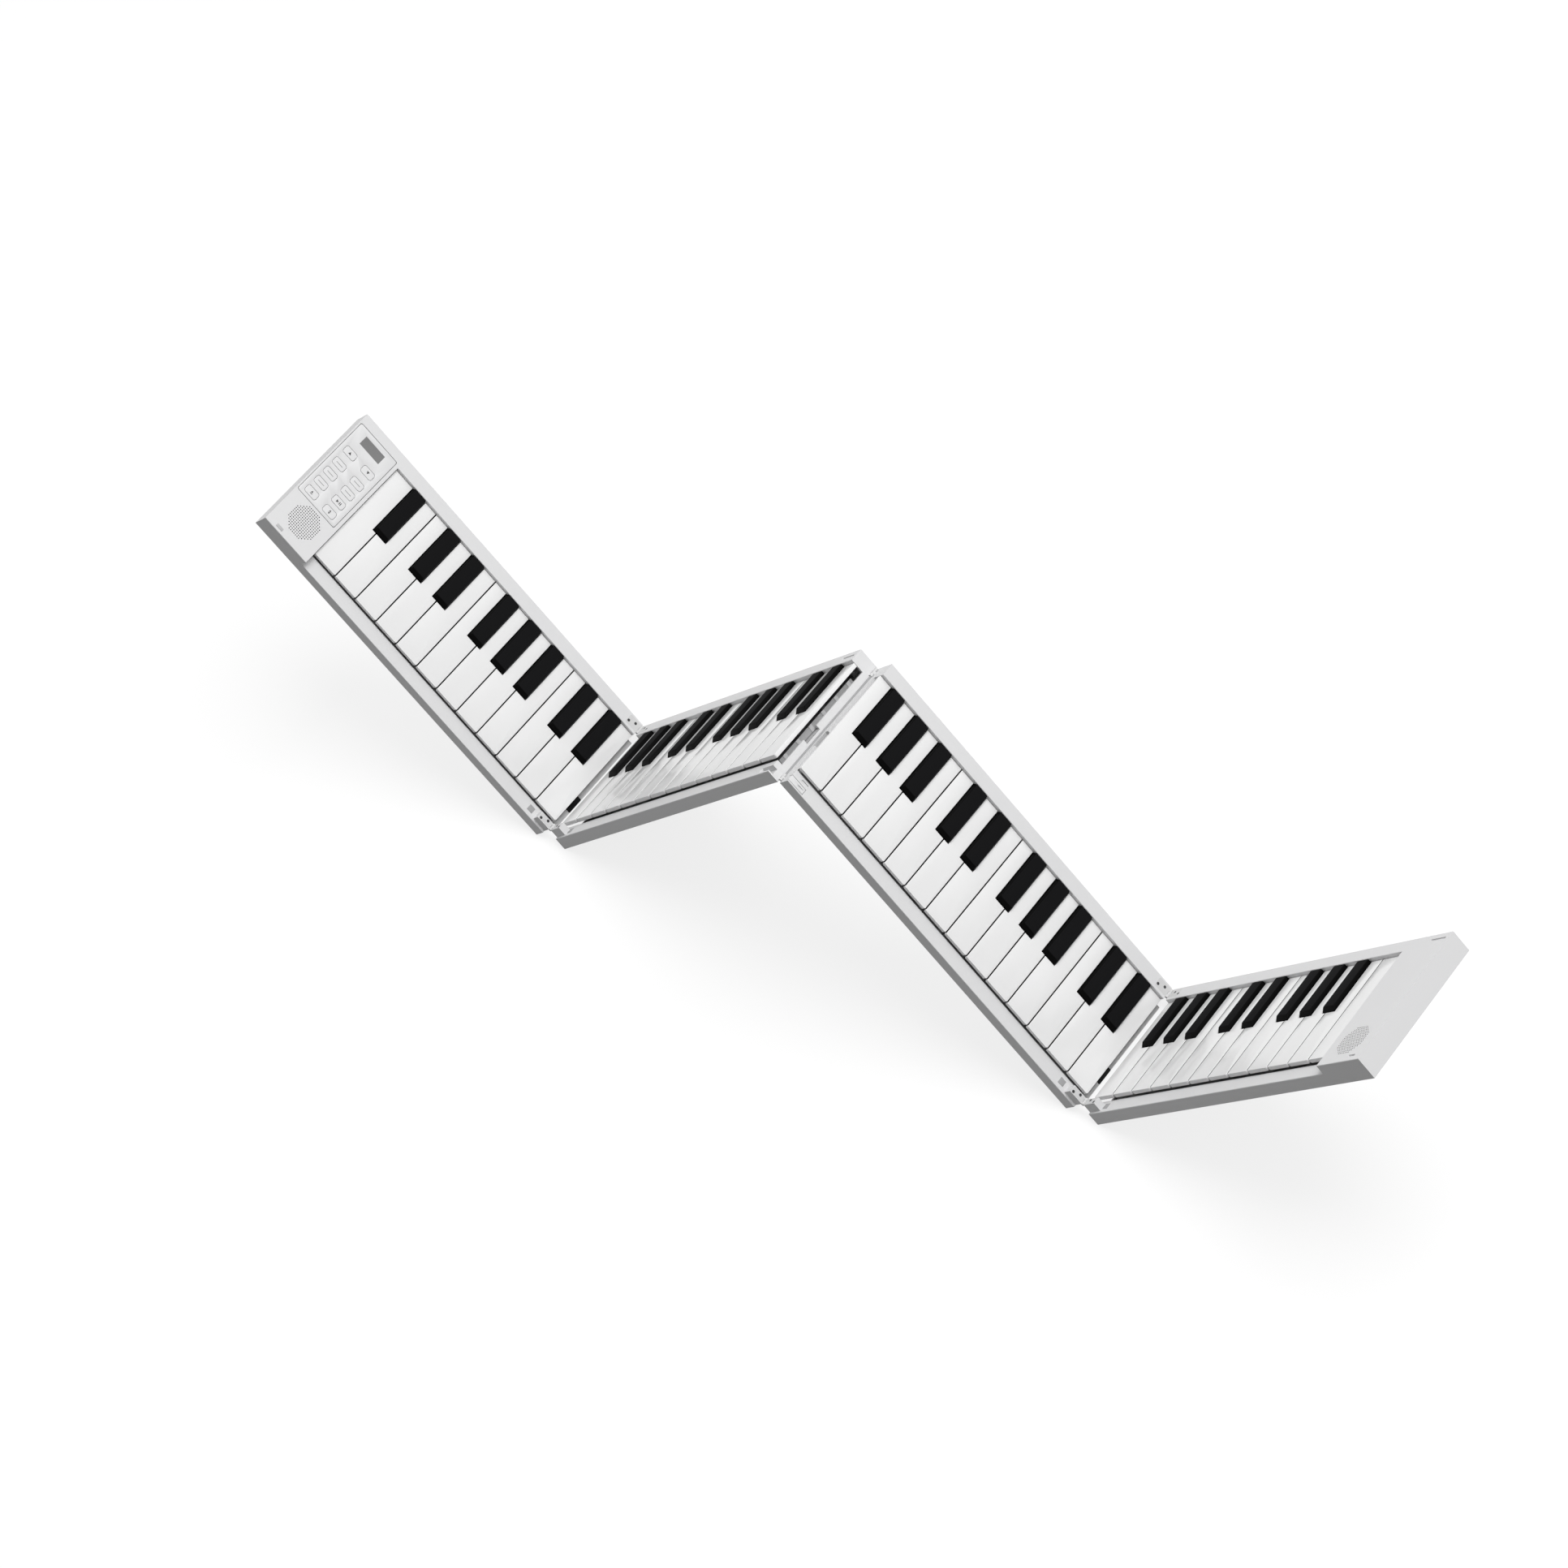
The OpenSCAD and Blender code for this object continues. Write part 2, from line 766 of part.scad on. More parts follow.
module flex_ribbon(n) {
    y0 = y_key + ribbon_front;
    r0 = y_key + ridge_ribbon_front;
    color("black") place(n) {
        if (n == 1 || n == 3)
            bar(module_len - ribbon_run, module_len + tongue_out, y0, y0 + ribbon_w,
                tongue_top, tongue_top + ribbon_thick);
        else
            at_end(false)
                bar(module_len - ribbon_run, module_len - end_gap, y0, y0 + ribbon_w,
                    far_wall_height, far_wall_height + ribbon_thick);
        if (n == 2 || n == 3)
            at_end(n == 2)
                bar(module_len - ridge_run, module_len - end_gap, r0, r0 + ribbon_w,
                    ribbon_z, ribbon_z + ribbon_thick);
    }
}

module screws(n) {
    color("silver") place(n) {
        screw_places(n) {
            translate([0, 0, head_sink - head_thick])
                cylinder(r = head_r, h = head_thick);
            translate([0, 0, head_sink - eps])
                cylinder(r = screw_r, h = screw_reach);
        }
        at_valley(n)
            leaf_screw_places()
                leaf_screw(panel_height, -1);
        if (n == 2 || n == 3)
            at_end(n == 2)
                leaf_screw_places()
                    leaf_screw(0, 1);
    }
}

// Countersunk screw, its head flush at z and its shank going the way dir says.
module leaf_screw(z, dir) {
    translate([0, 0, z])
        mirror([0, 0, dir < 0 ? 1 : 0]) {
            cylinder(r = leaf_head_r, h = leaf_head_thick);
            cylinder(r = leaf_screw_r, h = leaf_thick + leaf_screw_len - clear);
        }
}

module foot_places() {
    for (u = [foot_end, module_len - foot_end], y = [y_front + foot_inset, y_back - foot_inset])
        translate([u, y, 0])
            children();
}

// Rubber feet under the panel and the small square stop on its lip.
module foot_pads(n) {
    color("darkgray") place(n) {
        foot_places()
            translate([0, 0, -foot_out])
                cylinder(r = foot_r, h = foot_out + foot_sink);
        stop_box(n, -clear, z_lip - stop_deep, z_lip + stop_out);
    }
}

// ---- hinges -------------------------------------------------------------

// One leaf with its knuckles: the outer two, or the middle one.
module leaf(y, w, z, zc, outer) {
    third = w / 3;
    u1 = module_len - end_gap - leaf_set_back;
    ax = module_len + axis_reach;
    spans = outer ? [[0, third - run], [2 * third + run, w]] : [[third + run, 2 * third - run]];
    difference() {
        union() {
            leaf_plate(u1, y, w, z, z + leaf_thick);
            for (s = spans) {
                bar(u1 - leaf_arm_lap, ax, y - w / 2 + s[0], y - w / 2 + s[1], z, z + leaf_thick);
                translate([ax, y - w / 2 + s[0], zc])
                    rotate([-90, 0, 0])
                        cylinder(r = knuckle_r, h = s[1] - s[0]);
            }
        }
        translate([ax, y - w / 2 - 1, zc])
            rotate([-90, 0, 0])
                cylinder(r = pin_r + run, h = w + 2);
    }
}

module leaf_holes(z, dir) {
    leaf_screw_places() {
        translate([0, 0, z - 2])
            cylinder(r = leaf_screw_r, h = 4);
        translate([0, 0, dir > 0 ? z - 1 : z - leaf_head_thick])
            cylinder(r = leaf_head_r, h = 1 + leaf_head_thick);
    }
}

module hinge_leaves(n) {
    color("lightgray") place(n) {
        at_valley(n)
            difference() {
                union() {
                    leaf(front_hinge_y, front_leaf, panel_height - leaf_thick, axis_z, !is_even(n));
                    leaf(rear_hinge_y, rear_leaf, panel_height - leaf_thick, axis_z, !is_even(n));
                }
                leaf_holes(panel_height, -1);
            }
        if (n == 2 || n == 3)
            at_end(n == 2)
                difference() {
                    union() {
                        leaf(front_hinge_y, front_leaf, 0, -axis_rise, n == 2);
                        leaf(rear_hinge_y, rear_leaf, 0, -axis_rise, n == 2);
                    }
                    leaf_holes(0, 1);
                }
    }
}

// The two pins of a fold, carried by panel n.
module hinge_pins(n, right, zc) {
    color("silver") place(n)
        at_end(right)
            for (h = [[front_hinge_y, front_leaf], [rear_hinge_y, rear_leaf]])
                translate([module_len + axis_reach, h[0] - h[1] / 2, zc])
                    rotate([-90, 0, 0])
                        cylinder(r = pin_r, h = h[1]);
}

// ---- control block ------------------------------------------------------

module button_place(i) {
    col = floor(i / ROWS);
    row = i % ROWS;
    translate([button_u + col * button_cols, button_y + row * button_rows + (row == ROWS - 1 ? last_row_step : 0), 0])
        children();
}

module overlay_outline() {
    translate([overlay_left + overlay_w / 2, y_key + overlay_front + overlay_d / 2])
        rounded_rect(overlay_w, overlay_d, overlay_corner);
}

module display_box(gap, z0, z1) {
    translate([display_u + display_w / 2 - gap, display_y, z0])
        linear_extrude(z1 - z0)
            square([display_w + 2 * gap, display_d + 2 * gap], center = true);
}

module control_cuts() {
    translate([0, 0, panel_height - overlay_thick])
        linear_extrude(1)
            overlay_outline();
    display_box(0, panel_height - display_thick, panel_height + 1);
    for (i = [0:COLUMNS * ROWS - 1])
        button_place(i)
            translate([0, 0, panel_height - top_thick - 1])
                linear_extrude(top_thick + 2)
                    rounded_rect(button_w + 2 * clear, button_d + 2 * clear, button_r + clear);
    translate([grille_u, grille_y, panel_height - top_thick - 1])
        cylinder(r = grille_r, h = top_thick + 2);
    translate([socket_u - socket[0] / 2 - fit, y_back - wall - 1, port_z - socket[2] / 2 - fit])
        cube([socket[0] + 2 * fit, wall + 2, socket[2] + 2 * fit]);
    translate([power_u, y_back - wall - 1, port_z])
        rotate([-90, 0, 0])
            linear_extrude(wall + 2)
                rounded_rect(power_w + 2 * clear, power_h + 2 * clear, power_h / 2 + clear - eps);
}

module control_overlay() {
    color("whitesmoke") place(1) difference() {
        translate([0, 0, panel_height - overlay_thick])
            linear_extrude(overlay_thick)
                overlay_outline();
        display_box(0, panel_height - 2, panel_height + 1);
        for (i = [0:COLUMNS * ROWS - 1])
            button_place(i)
                translate([0, 0, panel_height - 2])
                    linear_extrude(4)
                        rounded_rect(button_w + 2 * clear, button_d + 2 * clear, button_r + clear);
    }
}

module display_lens() {
    color("gray") place(1)
        display_box(0, panel_height - display_thick, panel_height);
}

module button(i) {
    stem = main_z + main_thick + switch_high + button_travel + fit;
    color("white") place(1)
        button_place(i) {
            translate([0, 0, panel_height - button_cap])
                linear_extrude(button_cap)
                    rounded_rect(button_w, button_d, button_r);
            translate([0, 0, stem])
                cylinder(r = button_stem_r, h = panel_height - button_cap / 2 - stem);
        }
}

// The main board hangs on bosses between the two button columns.
module main_board_places() {
    for (row = [0:2:ROWS - 1])
        translate([button_u + button_cols / 2, button_y + row * button_rows, 0])
            children();
}

module main_board() {
    color("darkgreen") place(1) {
        bar(button_u - button_w / 2 - main_left, button_u + button_cols + button_w / 2 + main_right,
            y_key + overlay_front + main_in,
            y_rail + overlay_back - main_in, main_z, main_z + main_thick);
        for (i = [0:COLUMNS * ROWS - 1])
            button_place(i)
                translate([0, 0, main_z + main_thick - eps])
                    cylinder(r = switch_r, h = switch_high);
    }
}

// Loudspeaker: rim, cone basket and magnet in one turned shape.
module speaker(n, u) {
    top = panel_height - top_thick;
    color("dimgray") place(n)
        translate([u, grille_y, 0])
            rotate_extrude()
                polygon([
                    [0, top - 3.4], [4, top - 3.4], [12, top - 0.4], [grille_r - 0.8, top],
                    [grille_r + 1.2, top], [grille_r + 1.2, top - speaker_rim],
                    [13, top - speaker_rim - 0.6], [8.5, top - 6], [8.5, top - 9.5], [0, top - 9.5]
                ]);
}

module grille(n, u) {
    color("white") place(n)
        translate([u, grille_y, panel_height - top_thick])
            difference() {
                cylinder(r = grille_r, h = top_thick);
                for (i = [-grille_rows:grille_rows], j = [-grille_rows:grille_rows])
                    if (norm([i, j]) * grille_pitch < grille_r - grille_margin)
                        translate([i * grille_pitch, j * grille_pitch, -1])
                            cylinder(r = grille_hole_r, h = top_thick + 2, $fn = 16);
            }
}

module battery_pack() {
    color("slategray") place(4)
        translate([module_len - block_len / 2, y_key + battery_back, base_thick])
            linear_extrude(battery[2])
                rounded_rect(battery[0], battery[1], battery_corner);
}

module usb_socket() {
    deep = socket[1];
    color("silver") place(1)
        translate([socket_u, y_back - deep, port_z])
            rotate([-90, 0, 0])
                difference() {
                    linear_extrude(deep)
                        rounded_rect(socket[0], socket[2], socket[2] / 2 - eps);
                    translate([0, 0, socket_bed])
                        linear_extrude(deep)
                            difference() {
                                rounded_rect(socket[0] - 2 * socket_skin, socket[2] - 2 * socket_skin,
                                    socket[2] / 2 - socket_skin - eps);
                                square(socket_tongue, center = true);
                            }
                }
}

module power_button() {
    color("white") place(1)
        translate([power_u, y_back - power_deep, port_z])
            rotate([-90, 0, 0])
                linear_extrude(power_deep)
                    rounded_rect(power_w, power_h, power_h / 2 - eps);
}

module lock_slider() {
    color("white") place(3)
        bar(end_gap, end_gap + lock_len - clear, lock_y - lock_w / 2, lock_y + lock_w / 2, z_lip - lock_thick, z_lip);
}

top_case(1);  // top_case_1
top_case(2);  // top_case_2
top_case(3);  // top_case_3
top_case(4);  // top_case_4
base_plate(1);  // base_plate_1
base_plate(2);  // base_plate_2
base_plate(3);  // base_plate_3
base_plate(4);  // base_plate_4
white_keys(1);  // white_keys_1
white_keys(2);  // white_keys_2
white_keys(3);  // white_keys_3
white_keys(4);  // white_keys_4
black_keys(1);  // black_keys_1
black_keys(2);  // black_keys_2
black_keys(3);  // black_keys_3
black_keys(4);  // black_keys_4
contact_board(1);  // contact_board_1
contact_board(2);  // contact_board_2
contact_board(3);  // contact_board_3
contact_board(4);  // contact_board_4
flex_ribbon(1);  // flex_ribbon_1
flex_ribbon(2);  // flex_ribbon_2
flex_ribbon(3);  // flex_ribbon_3
flex_ribbon(4);  // flex_ribbon_4
screws(1);  // screws_1
screws(2);  // screws_2
screws(3);  // screws_3
screws(4);  // screws_4
foot_pads(1);  // foot_pads_1
foot_pads(2);  // foot_pads_2
foot_pads(3);  // foot_pads_3
foot_pads(4);  // foot_pads_4
hinge_leaves(1);  // hinge_leaves_1
hinge_leaves(2);  // hinge_leaves_2
hinge_leaves(3);  // hinge_leaves_3
hinge_leaves(4);  // hinge_leaves_4
hinge_pins(1, true, axis_z);  // hinge_pins_12
hinge_pins(2, true, -axis_rise);  // hinge_pins_23
hinge_pins(3, true, axis_z);  // hinge_pins_34
control_overlay();
display_lens();
main_board();
button(0);  // button_01
button(1);  // button_02
button(2);  // button_03
button(3);  // button_04
button(4);  // button_05
button(5);  // button_06
button(6);  // button_07
button(7);  // button_08
button(8);  // button_09
button(9);  // button_10
speaker(1, grille_u);  // speaker_left
speaker(4, module_len - grille_u);  // speaker_right
grille(1, grille_u);  // grille_left
grille(4, module_len - grille_u);  // grille_right
battery_pack();
lock_slider();
power_button();
usb_socket();
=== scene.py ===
import bpy
import json
import math
from mathutils import Matrix, Vector


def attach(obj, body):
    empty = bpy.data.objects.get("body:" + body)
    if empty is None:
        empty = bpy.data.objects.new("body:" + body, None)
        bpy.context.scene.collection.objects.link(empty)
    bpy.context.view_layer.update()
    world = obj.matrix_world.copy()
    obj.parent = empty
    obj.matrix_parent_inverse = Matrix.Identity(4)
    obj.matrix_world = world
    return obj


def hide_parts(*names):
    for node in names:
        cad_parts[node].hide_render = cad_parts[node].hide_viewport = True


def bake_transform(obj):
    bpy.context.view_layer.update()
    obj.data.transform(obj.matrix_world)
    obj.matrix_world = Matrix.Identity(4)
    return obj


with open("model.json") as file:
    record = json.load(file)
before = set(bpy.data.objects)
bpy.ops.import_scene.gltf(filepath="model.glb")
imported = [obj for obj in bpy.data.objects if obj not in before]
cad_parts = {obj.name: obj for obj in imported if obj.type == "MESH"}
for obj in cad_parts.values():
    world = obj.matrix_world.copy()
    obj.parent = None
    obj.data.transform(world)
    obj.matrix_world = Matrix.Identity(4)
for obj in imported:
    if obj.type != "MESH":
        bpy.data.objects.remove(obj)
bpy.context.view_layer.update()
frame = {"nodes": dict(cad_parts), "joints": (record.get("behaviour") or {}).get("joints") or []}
nodes = frame["nodes"]
mm = 0.001

# ---- Camera ----
# A long portrait lens looks down from the front right, over the highest keys, as in the photograph.
# The place, turn and lens were found by fitting the panels' corners and key edges to the picture.
camera = bpy.data.objects.new("camera", bpy.data.cameras.new("camera"))
bpy.context.scene.collection.objects.link(camera)
camera.location = (1.3494, -1.5474, 2.6717)
camera.rotation_euler = [math.radians(turn) for turn in (39.0443, 5.4314, 35.4839)]
camera.data.sensor_width = 36
camera.data.lens = 103.63
bpy.context.scene.camera = camera
bpy.context.scene.view_settings.view_transform = "Standard"

# ---- Floor and light ----
# A studio table of pale paper runs out of sight on every side, under one wide soft lamp and a pale sky,
# which is dimmer in front of the object, so that its long front faces stay in shade.
# To the camera the paper is white, with the soft shadow that the zigzag drops between its legs.


def node_material(name):
    """A new material, its node tree and its shader."""
    material = bpy.data.materials.new(name)
    material.use_nodes = True
    tree = material.node_tree
    return material, tree, tree.nodes["Principled BSDF"]


def add_node(tree, kind, **values):
    """A node of that kind, with its settings or its named inputs set."""
    node = tree.nodes.new(kind)
    for key, value in values.items():
        if hasattr(node, key):
            setattr(node, key, value)
        else:
            node.inputs[key.replace("_", " ")].default_value = value
    return node


def seen_rays(tree):
    """1 for rays from the camera, from gloss and through glass, and 0 for the rays that light the object."""
    path = add_node(tree, "ShaderNodeLightPath")
    first = add_node(tree, "ShaderNodeMath", operation="MAXIMUM")
    both = add_node(tree, "ShaderNodeMath", operation="MAXIMUM")
    tree.links.new(path.outputs["Is Camera Ray"], first.inputs[0])
    tree.links.new(path.outputs["Is Glossy Ray"], first.inputs[1])
    tree.links.new(first.outputs[0], both.inputs[0])
    tree.links.new(path.outputs["Is Transmission Ray"], both.inputs[1])
    return both.outputs[0]


paper_half = 6.0
paper_low = 0.0004
lamp_aim = (0, 0, 0.1)
bpy.ops.object.select_all(action="DESELECT")
bpy.ops.mesh.primitive_plane_add(size=2 * paper_half, location=(0, 0, -paper_low))
floor = bpy.context.object
floor.name = "floor"
paper, tree, shader = node_material("pale_paper")
shader.inputs["Base Color"].default_value = (0.22, 0.22, 0.22, 1)
shader.inputs["Roughness"].default_value = 0.9
shader.inputs["Specular IOR Level"].default_value = 0.0
glow = add_node(tree, "ShaderNodeEmission", Color=(1, 1, 1, 1), Strength=0.8)
glowing = add_node(tree, "ShaderNodeAddShader")
paper_mix = add_node(tree, "ShaderNodeMixShader")
tree.links.new(shader.outputs[0], glowing.inputs[0])
tree.links.new(glow.outputs[0], glowing.inputs[1])
tree.links.new(seen_rays(tree), paper_mix.inputs["Fac"])
tree.links.new(shader.outputs[0], paper_mix.inputs[1])
tree.links.new(glowing.outputs[0], paper_mix.inputs[2])
tree.links.new(paper_mix.outputs[0], tree.nodes["Material Output"].inputs["Surface"])
floor.data.materials.append(paper)

world = bpy.data.worlds.new("pale_sky")
bpy.context.scene.world = world
world.use_nodes = True
tree = world.node_tree
sky = tree.nodes["Background"]
sky.inputs["Color"].default_value = (1, 1, 1, 1)
facing = add_node(tree, "ShaderNodeTexCoord")
axes = add_node(tree, "ShaderNodeSeparateXYZ")
front_fade = add_node(tree, "ShaderNodeMapRange", From_Min=-0.9, From_Max=0.1, To_Min=0.1, To_Max=0.62)
tree.links.new(facing.outputs["Generated"], axes.inputs[0])
tree.links.new(axes.outputs["Y"], front_fade.inputs["Value"])
tree.links.new(front_fade.outputs[0], sky.inputs["Strength"])
seen = add_node(tree, "ShaderNodeBackground", Color=(1, 1, 1, 1), Strength=1.0)
sky_mix = add_node(tree, "ShaderNodeMixShader")
tree.links.new(seen_rays(tree), sky_mix.inputs["Fac"])
tree.links.new(sky.outputs[0], sky_mix.inputs[1])
tree.links.new(seen.outputs[0], sky_mix.inputs[2])
tree.links.new(sky_mix.outputs[0], tree.nodes["World Output"].inputs["Surface"])

lamp = bpy.data.lights.new("soft_lamp", "AREA")
lamp.shape = "DISK"
lamp.size = 2.2
lamp.energy = 75
lamp_object = bpy.data.objects.new("soft_lamp", lamp)
bpy.context.scene.collection.objects.link(lamp_object)
lamp_object.location = (0.5, 0.35, 3.2)
lamp_object.rotation_euler = (Vector(lamp_aim) - lamp_object.location).to_track_quat("-Z", "Y").to_euler()

# ---- Cases ----
# Each panel's case is one moulded shell of white plastic: rear rail, front lip, end walls and blocks.
# The tool was spark-eroded, so every face has the same fine even grain and a satin sheen.


def moulded_plastic(name, colour, rough, grain, depth, mottle=0.03, shine=0.5):
    """Plastic with a fine tool grain, a slight cloudiness of colour and small changes of sheen."""
    material, tree, shader = node_material(name)
    shader.inputs["Specular IOR Level"].default_value = shine
    place = add_node(tree, "ShaderNodeTexCoord")
    cloud = add_node(tree, "ShaderNodeTexNoise", Scale=9.0, Detail=3.0)
    tone = add_node(tree, "ShaderNodeMix", data_type="RGBA")
    tone.inputs[6].default_value = [c * (1 - mottle) for c in colour] + [1]
    tone.inputs[7].default_value = [min(1, c * (1 + mottle)) for c in colour] + [1]
    sheen = add_node(tree, "ShaderNodeMapRange", To_Min=rough - 0.05, To_Max=rough + 0.05)
    fine = add_node(tree, "ShaderNodeTexNoise", Scale=1 / grain, Detail=2.0)
    bump = add_node(tree, "ShaderNodeBump", Strength=0.35, Distance=depth)
    for user in (cloud, fine):
        tree.links.new(place.outputs["Object"], user.inputs["Vector"])
    tree.links.new(cloud.outputs["Fac"], tone.inputs[0])
    tree.links.new(tone.outputs[2], shader.inputs["Base Color"])
    tree.links.new(cloud.outputs["Fac"], sheen.inputs["Value"])
    tree.links.new(sheen.outputs[0], shader.inputs["Roughness"])
    tree.links.new(fine.outputs["Fac"], bump.inputs["Height"])
    tree.links.new(bump.outputs[0], shader.inputs["Normal"])
    return material


def dress(names, material):
    """Gives CAD nodes their finish."""
    for name in names:
        mesh = nodes[name].data
        mesh.materials.clear()
        mesh.materials.append(material)


panels = (1, 2, 3, 4)
case_white = moulded_plastic("case_white", (0.71, 0.71, 0.715), 0.45, 0.0005, 0.00004, shine=0.35)
dress([f"top_case_{n}" for n in panels], case_white)

# ---- Base plates ----
# A flat moulded plate closes each panel from below and carries the rod that the keys hook over.
# It is moulded in the case's own plastic with a coarser grain, which hides scratches from the table.
# Its grey is darker than the case's: painted shade for the dim inside of the panel, seen through the gaps.
base_white = moulded_plastic("base_white", (0.5, 0.5, 0.505), 0.6, 0.0008, 0.00008, shine=0.3)
dress([f"base_plate_{n}" for n in panels], base_white)

# ---- White keys ----
# Fifty-two keys moulded in glossy white plastic. Each is a lever with a wide front and a narrower tail
# between its black neighbours, hooked over the rod under the rear rail. The sides that face a neighbour are
# near black here, a stand-in for the shade in the narrow gaps.
most_whites = 14
key_pitch = 23 * mm
key_length = 98.5 * mm
key_top = 15 * mm
key_under = 11.8 * mm
key_gap = 1.05 * mm
end_gap = 0.5 * mm
key_corner = 1.2 * mm
key_edge = 0.2 * mm
key_back_gap = 0.3 * mm
level = 0.9
black_length = 48.6 * mm
black_width = 13.6 * mm
black_gap = 0.7 * mm
y_key = -48.85 * mm
module_len = most_whites * key_pitch
pivot_rise = 10.5 * mm
first_white = {1: 0, 2: 12, 3: 26, 4: 40}
whites = {1: 12, 2: 14, 3: 14, 4: 12}
letters = 7
no_black_before = (2, 5)
side_steps = (0, 1 / 4, 0, -1 / 6, 1 / 6, 0, -1 / 4)
joints = {joint["name"]: joint for joint in frame["joints"]}


def panel_place(n):
    """The placing of panel n: x along its keys, y to the back and z up from its underside."""
    press = joints[f"white_keys_{n}_press"]
    along = Vector(press["axis"])
    up = along.cross(Vector((0, 1, 0)))
    start = Vector(press["pos_m"]) - along * module_len / 2 - up * pivot_rise
    return Matrix((
        (along.x, 0, up.x, start.x),
        (along.y, 1, up.y, 0),
        (along.z, 0, up.z, start.z),
        (0, 0, 0, 1),
    ))


def start_box(name, low, high):
    """A box from one corner to the other, alone in the selection."""
    bpy.ops.object.select_all(action="DESELECT")
    middle = [(a + b) / 2 for a, b in zip(low, high)]
    bpy.ops.mesh.primitive_cube_add(size=1, location=middle)
    piece = bpy.context.object
    piece.name = name
    piece.scale = [b - a for a, b in zip(low, high)]
    bpy.ops.object.transform_apply(location=True, rotation=True, scale=True)
    return piece


def pick(piece, kind, test):
    """Opens the piece in edit mode with only those vertices, edges or faces chosen whose middle passes."""
    bpy.ops.object.mode_set(mode="OBJECT")
    mesh = piece.data
    for group in (mesh.vertices, mesh.edges, mesh.polygons):
        group.foreach_set("select", [False] * len(group))
    spots = [v.co for v in mesh.vertices]
    if kind == "VERT":
        chosen = [v for v in mesh.vertices if test(v.co)]
    elif kind == "EDGE":
        chosen = [e for e in mesh.edges if test((spots[e.vertices[0]] + spots[e.vertices[1]]) / 2)]
    else:
        chosen = [f for f in mesh.polygons if test(f.center)]
    for part in chosen:
        part.select = True
    bpy.context.tool_settings.mesh_select_mode = (kind == "VERT", kind == "EDGE", kind == "FACE")
    bpy.ops.object.mode_set(mode="EDIT")


def cut_at(piece, point, normal):
    """Cuts the whole piece along a plane and keeps both sides."""
    bpy.ops.object.mode_set(mode="EDIT")
    bpy.ops.mesh.select_all(action="SELECT")
    bpy.ops.mesh.bisect(plane_co=point, plane_no=normal)
    bpy.ops.object.mode_set(mode="OBJECT")


def round_edges(piece, width, segments, angle=35):
    """Rounds every edge sharper than that angle and smooths the shading over the roundings."""
    bpy.ops.object.mode_set(mode="OBJECT")
    bpy.ops.object.select_all(action="DESELECT")
    piece.select_set(True)
    bpy.context.view_layer.objects.active = piece
    bpy.ops.object.modifier_add(type="BEVEL")
    bevel = piece.modifiers[-1]
    bevel.width = width
    bevel.segments = segments
    bevel.limit_method = "ANGLE"
    bevel.angle_limit = math.radians(angle)
    bevel.harden_normals = False
    bpy.ops.object.modifier_apply(modifier=bevel.name)
    bpy.ops.object.shade_smooth_by_angle(angle=math.radians(angle))


def close_to(a, b):
    """Whether two lengths agree to within a hundredth of a millimetre."""
    return abs(a - b) < 0.01 * mm


def has_black(n, k):
    """Whether a black key stands before key k of panel n."""
    return 0 < k < whites[n] and (first_white[n] + k) % letters not in no_black_before


def side_step(n, k):
    """How far the black key before key k stands to the side of the gap."""
    return side_steps[(first_white[n] + k) % letters] * black_width


def first_key(n):
    """Where the first white key of panel n starts along the panel."""
    return (most_whites - whites[n]) * key_pitch if n == 1 else 0


def white_key_form(u0, u1, left, right):
    """One white key: wide front, tail between the notches for its neighbours, rounded front corners."""
    front = key_length - black_length - black_gap
    piece = start_box("white_key", (u0, 0, key_under), (u1, front, key_top))
    for edge in (left, right):
        if edge is not None:
            cut_at(piece, (edge, 0, 0), (1, 0, 0))
    low = left if left is not None else u0
    high = right if right is not None else u1
    pick(piece, "FACE", lambda c: close_to(c.y, front) and low < c.x < high)
    bpy.ops.mesh.extrude_region_move(
        TRANSFORM_OT_translate={"value": (0, key_length - key_back_gap - front, 0)}
    )
    pick(piece, "EDGE", lambda c: close_to(c.y, 0) and (close_to(c.x, u0) or close_to(c.x, u1)))
    bpy.ops.mesh.bevel(offset=key_corner, segments=5, affect="EDGES")
    round_edges(piece, key_edge, 3)
    piece.data.materials.append(key_white)
    piece.data.materials.append(key_side)
    half_gap = key_gap / 2
    inner = [u for u in (u0, u1) if close_to(u % key_pitch, half_gap) or close_to(-u % key_pitch, half_gap)]
    for face in piece.data.polygons:
        if abs(face.normal.x) > level and any(close_to(face.center.x, side) for side in inner):
            face.material_index = 1
    return piece


def copy_to(form, name, place):
    """A copy of a form with its own mesh, put in its place."""
    copy = bpy.data.objects.new(name, form.data.copy())
    copy.data.transform(place)
    bpy.context.scene.collection.objects.link(copy)
    return copy


def joined(name, parts, material=None):
    """All the parts as one piece, in one finish or in their own."""
    bpy.ops.object.select_all(action="DESELECT")
    for part in parts:
        part.select_set(True)
    bpy.context.view_layer.objects.active = parts[0]
    bpy.ops.object.join()
    piece = bpy.context.object
    piece.name = name
    if material:
        piece.data.materials.clear()
        piece.data.materials.append(material)
    return piece


def drop(*forms):
    """Throws away the forms that only served for copying."""
    for form in forms:
        bpy.data.objects.remove(form)


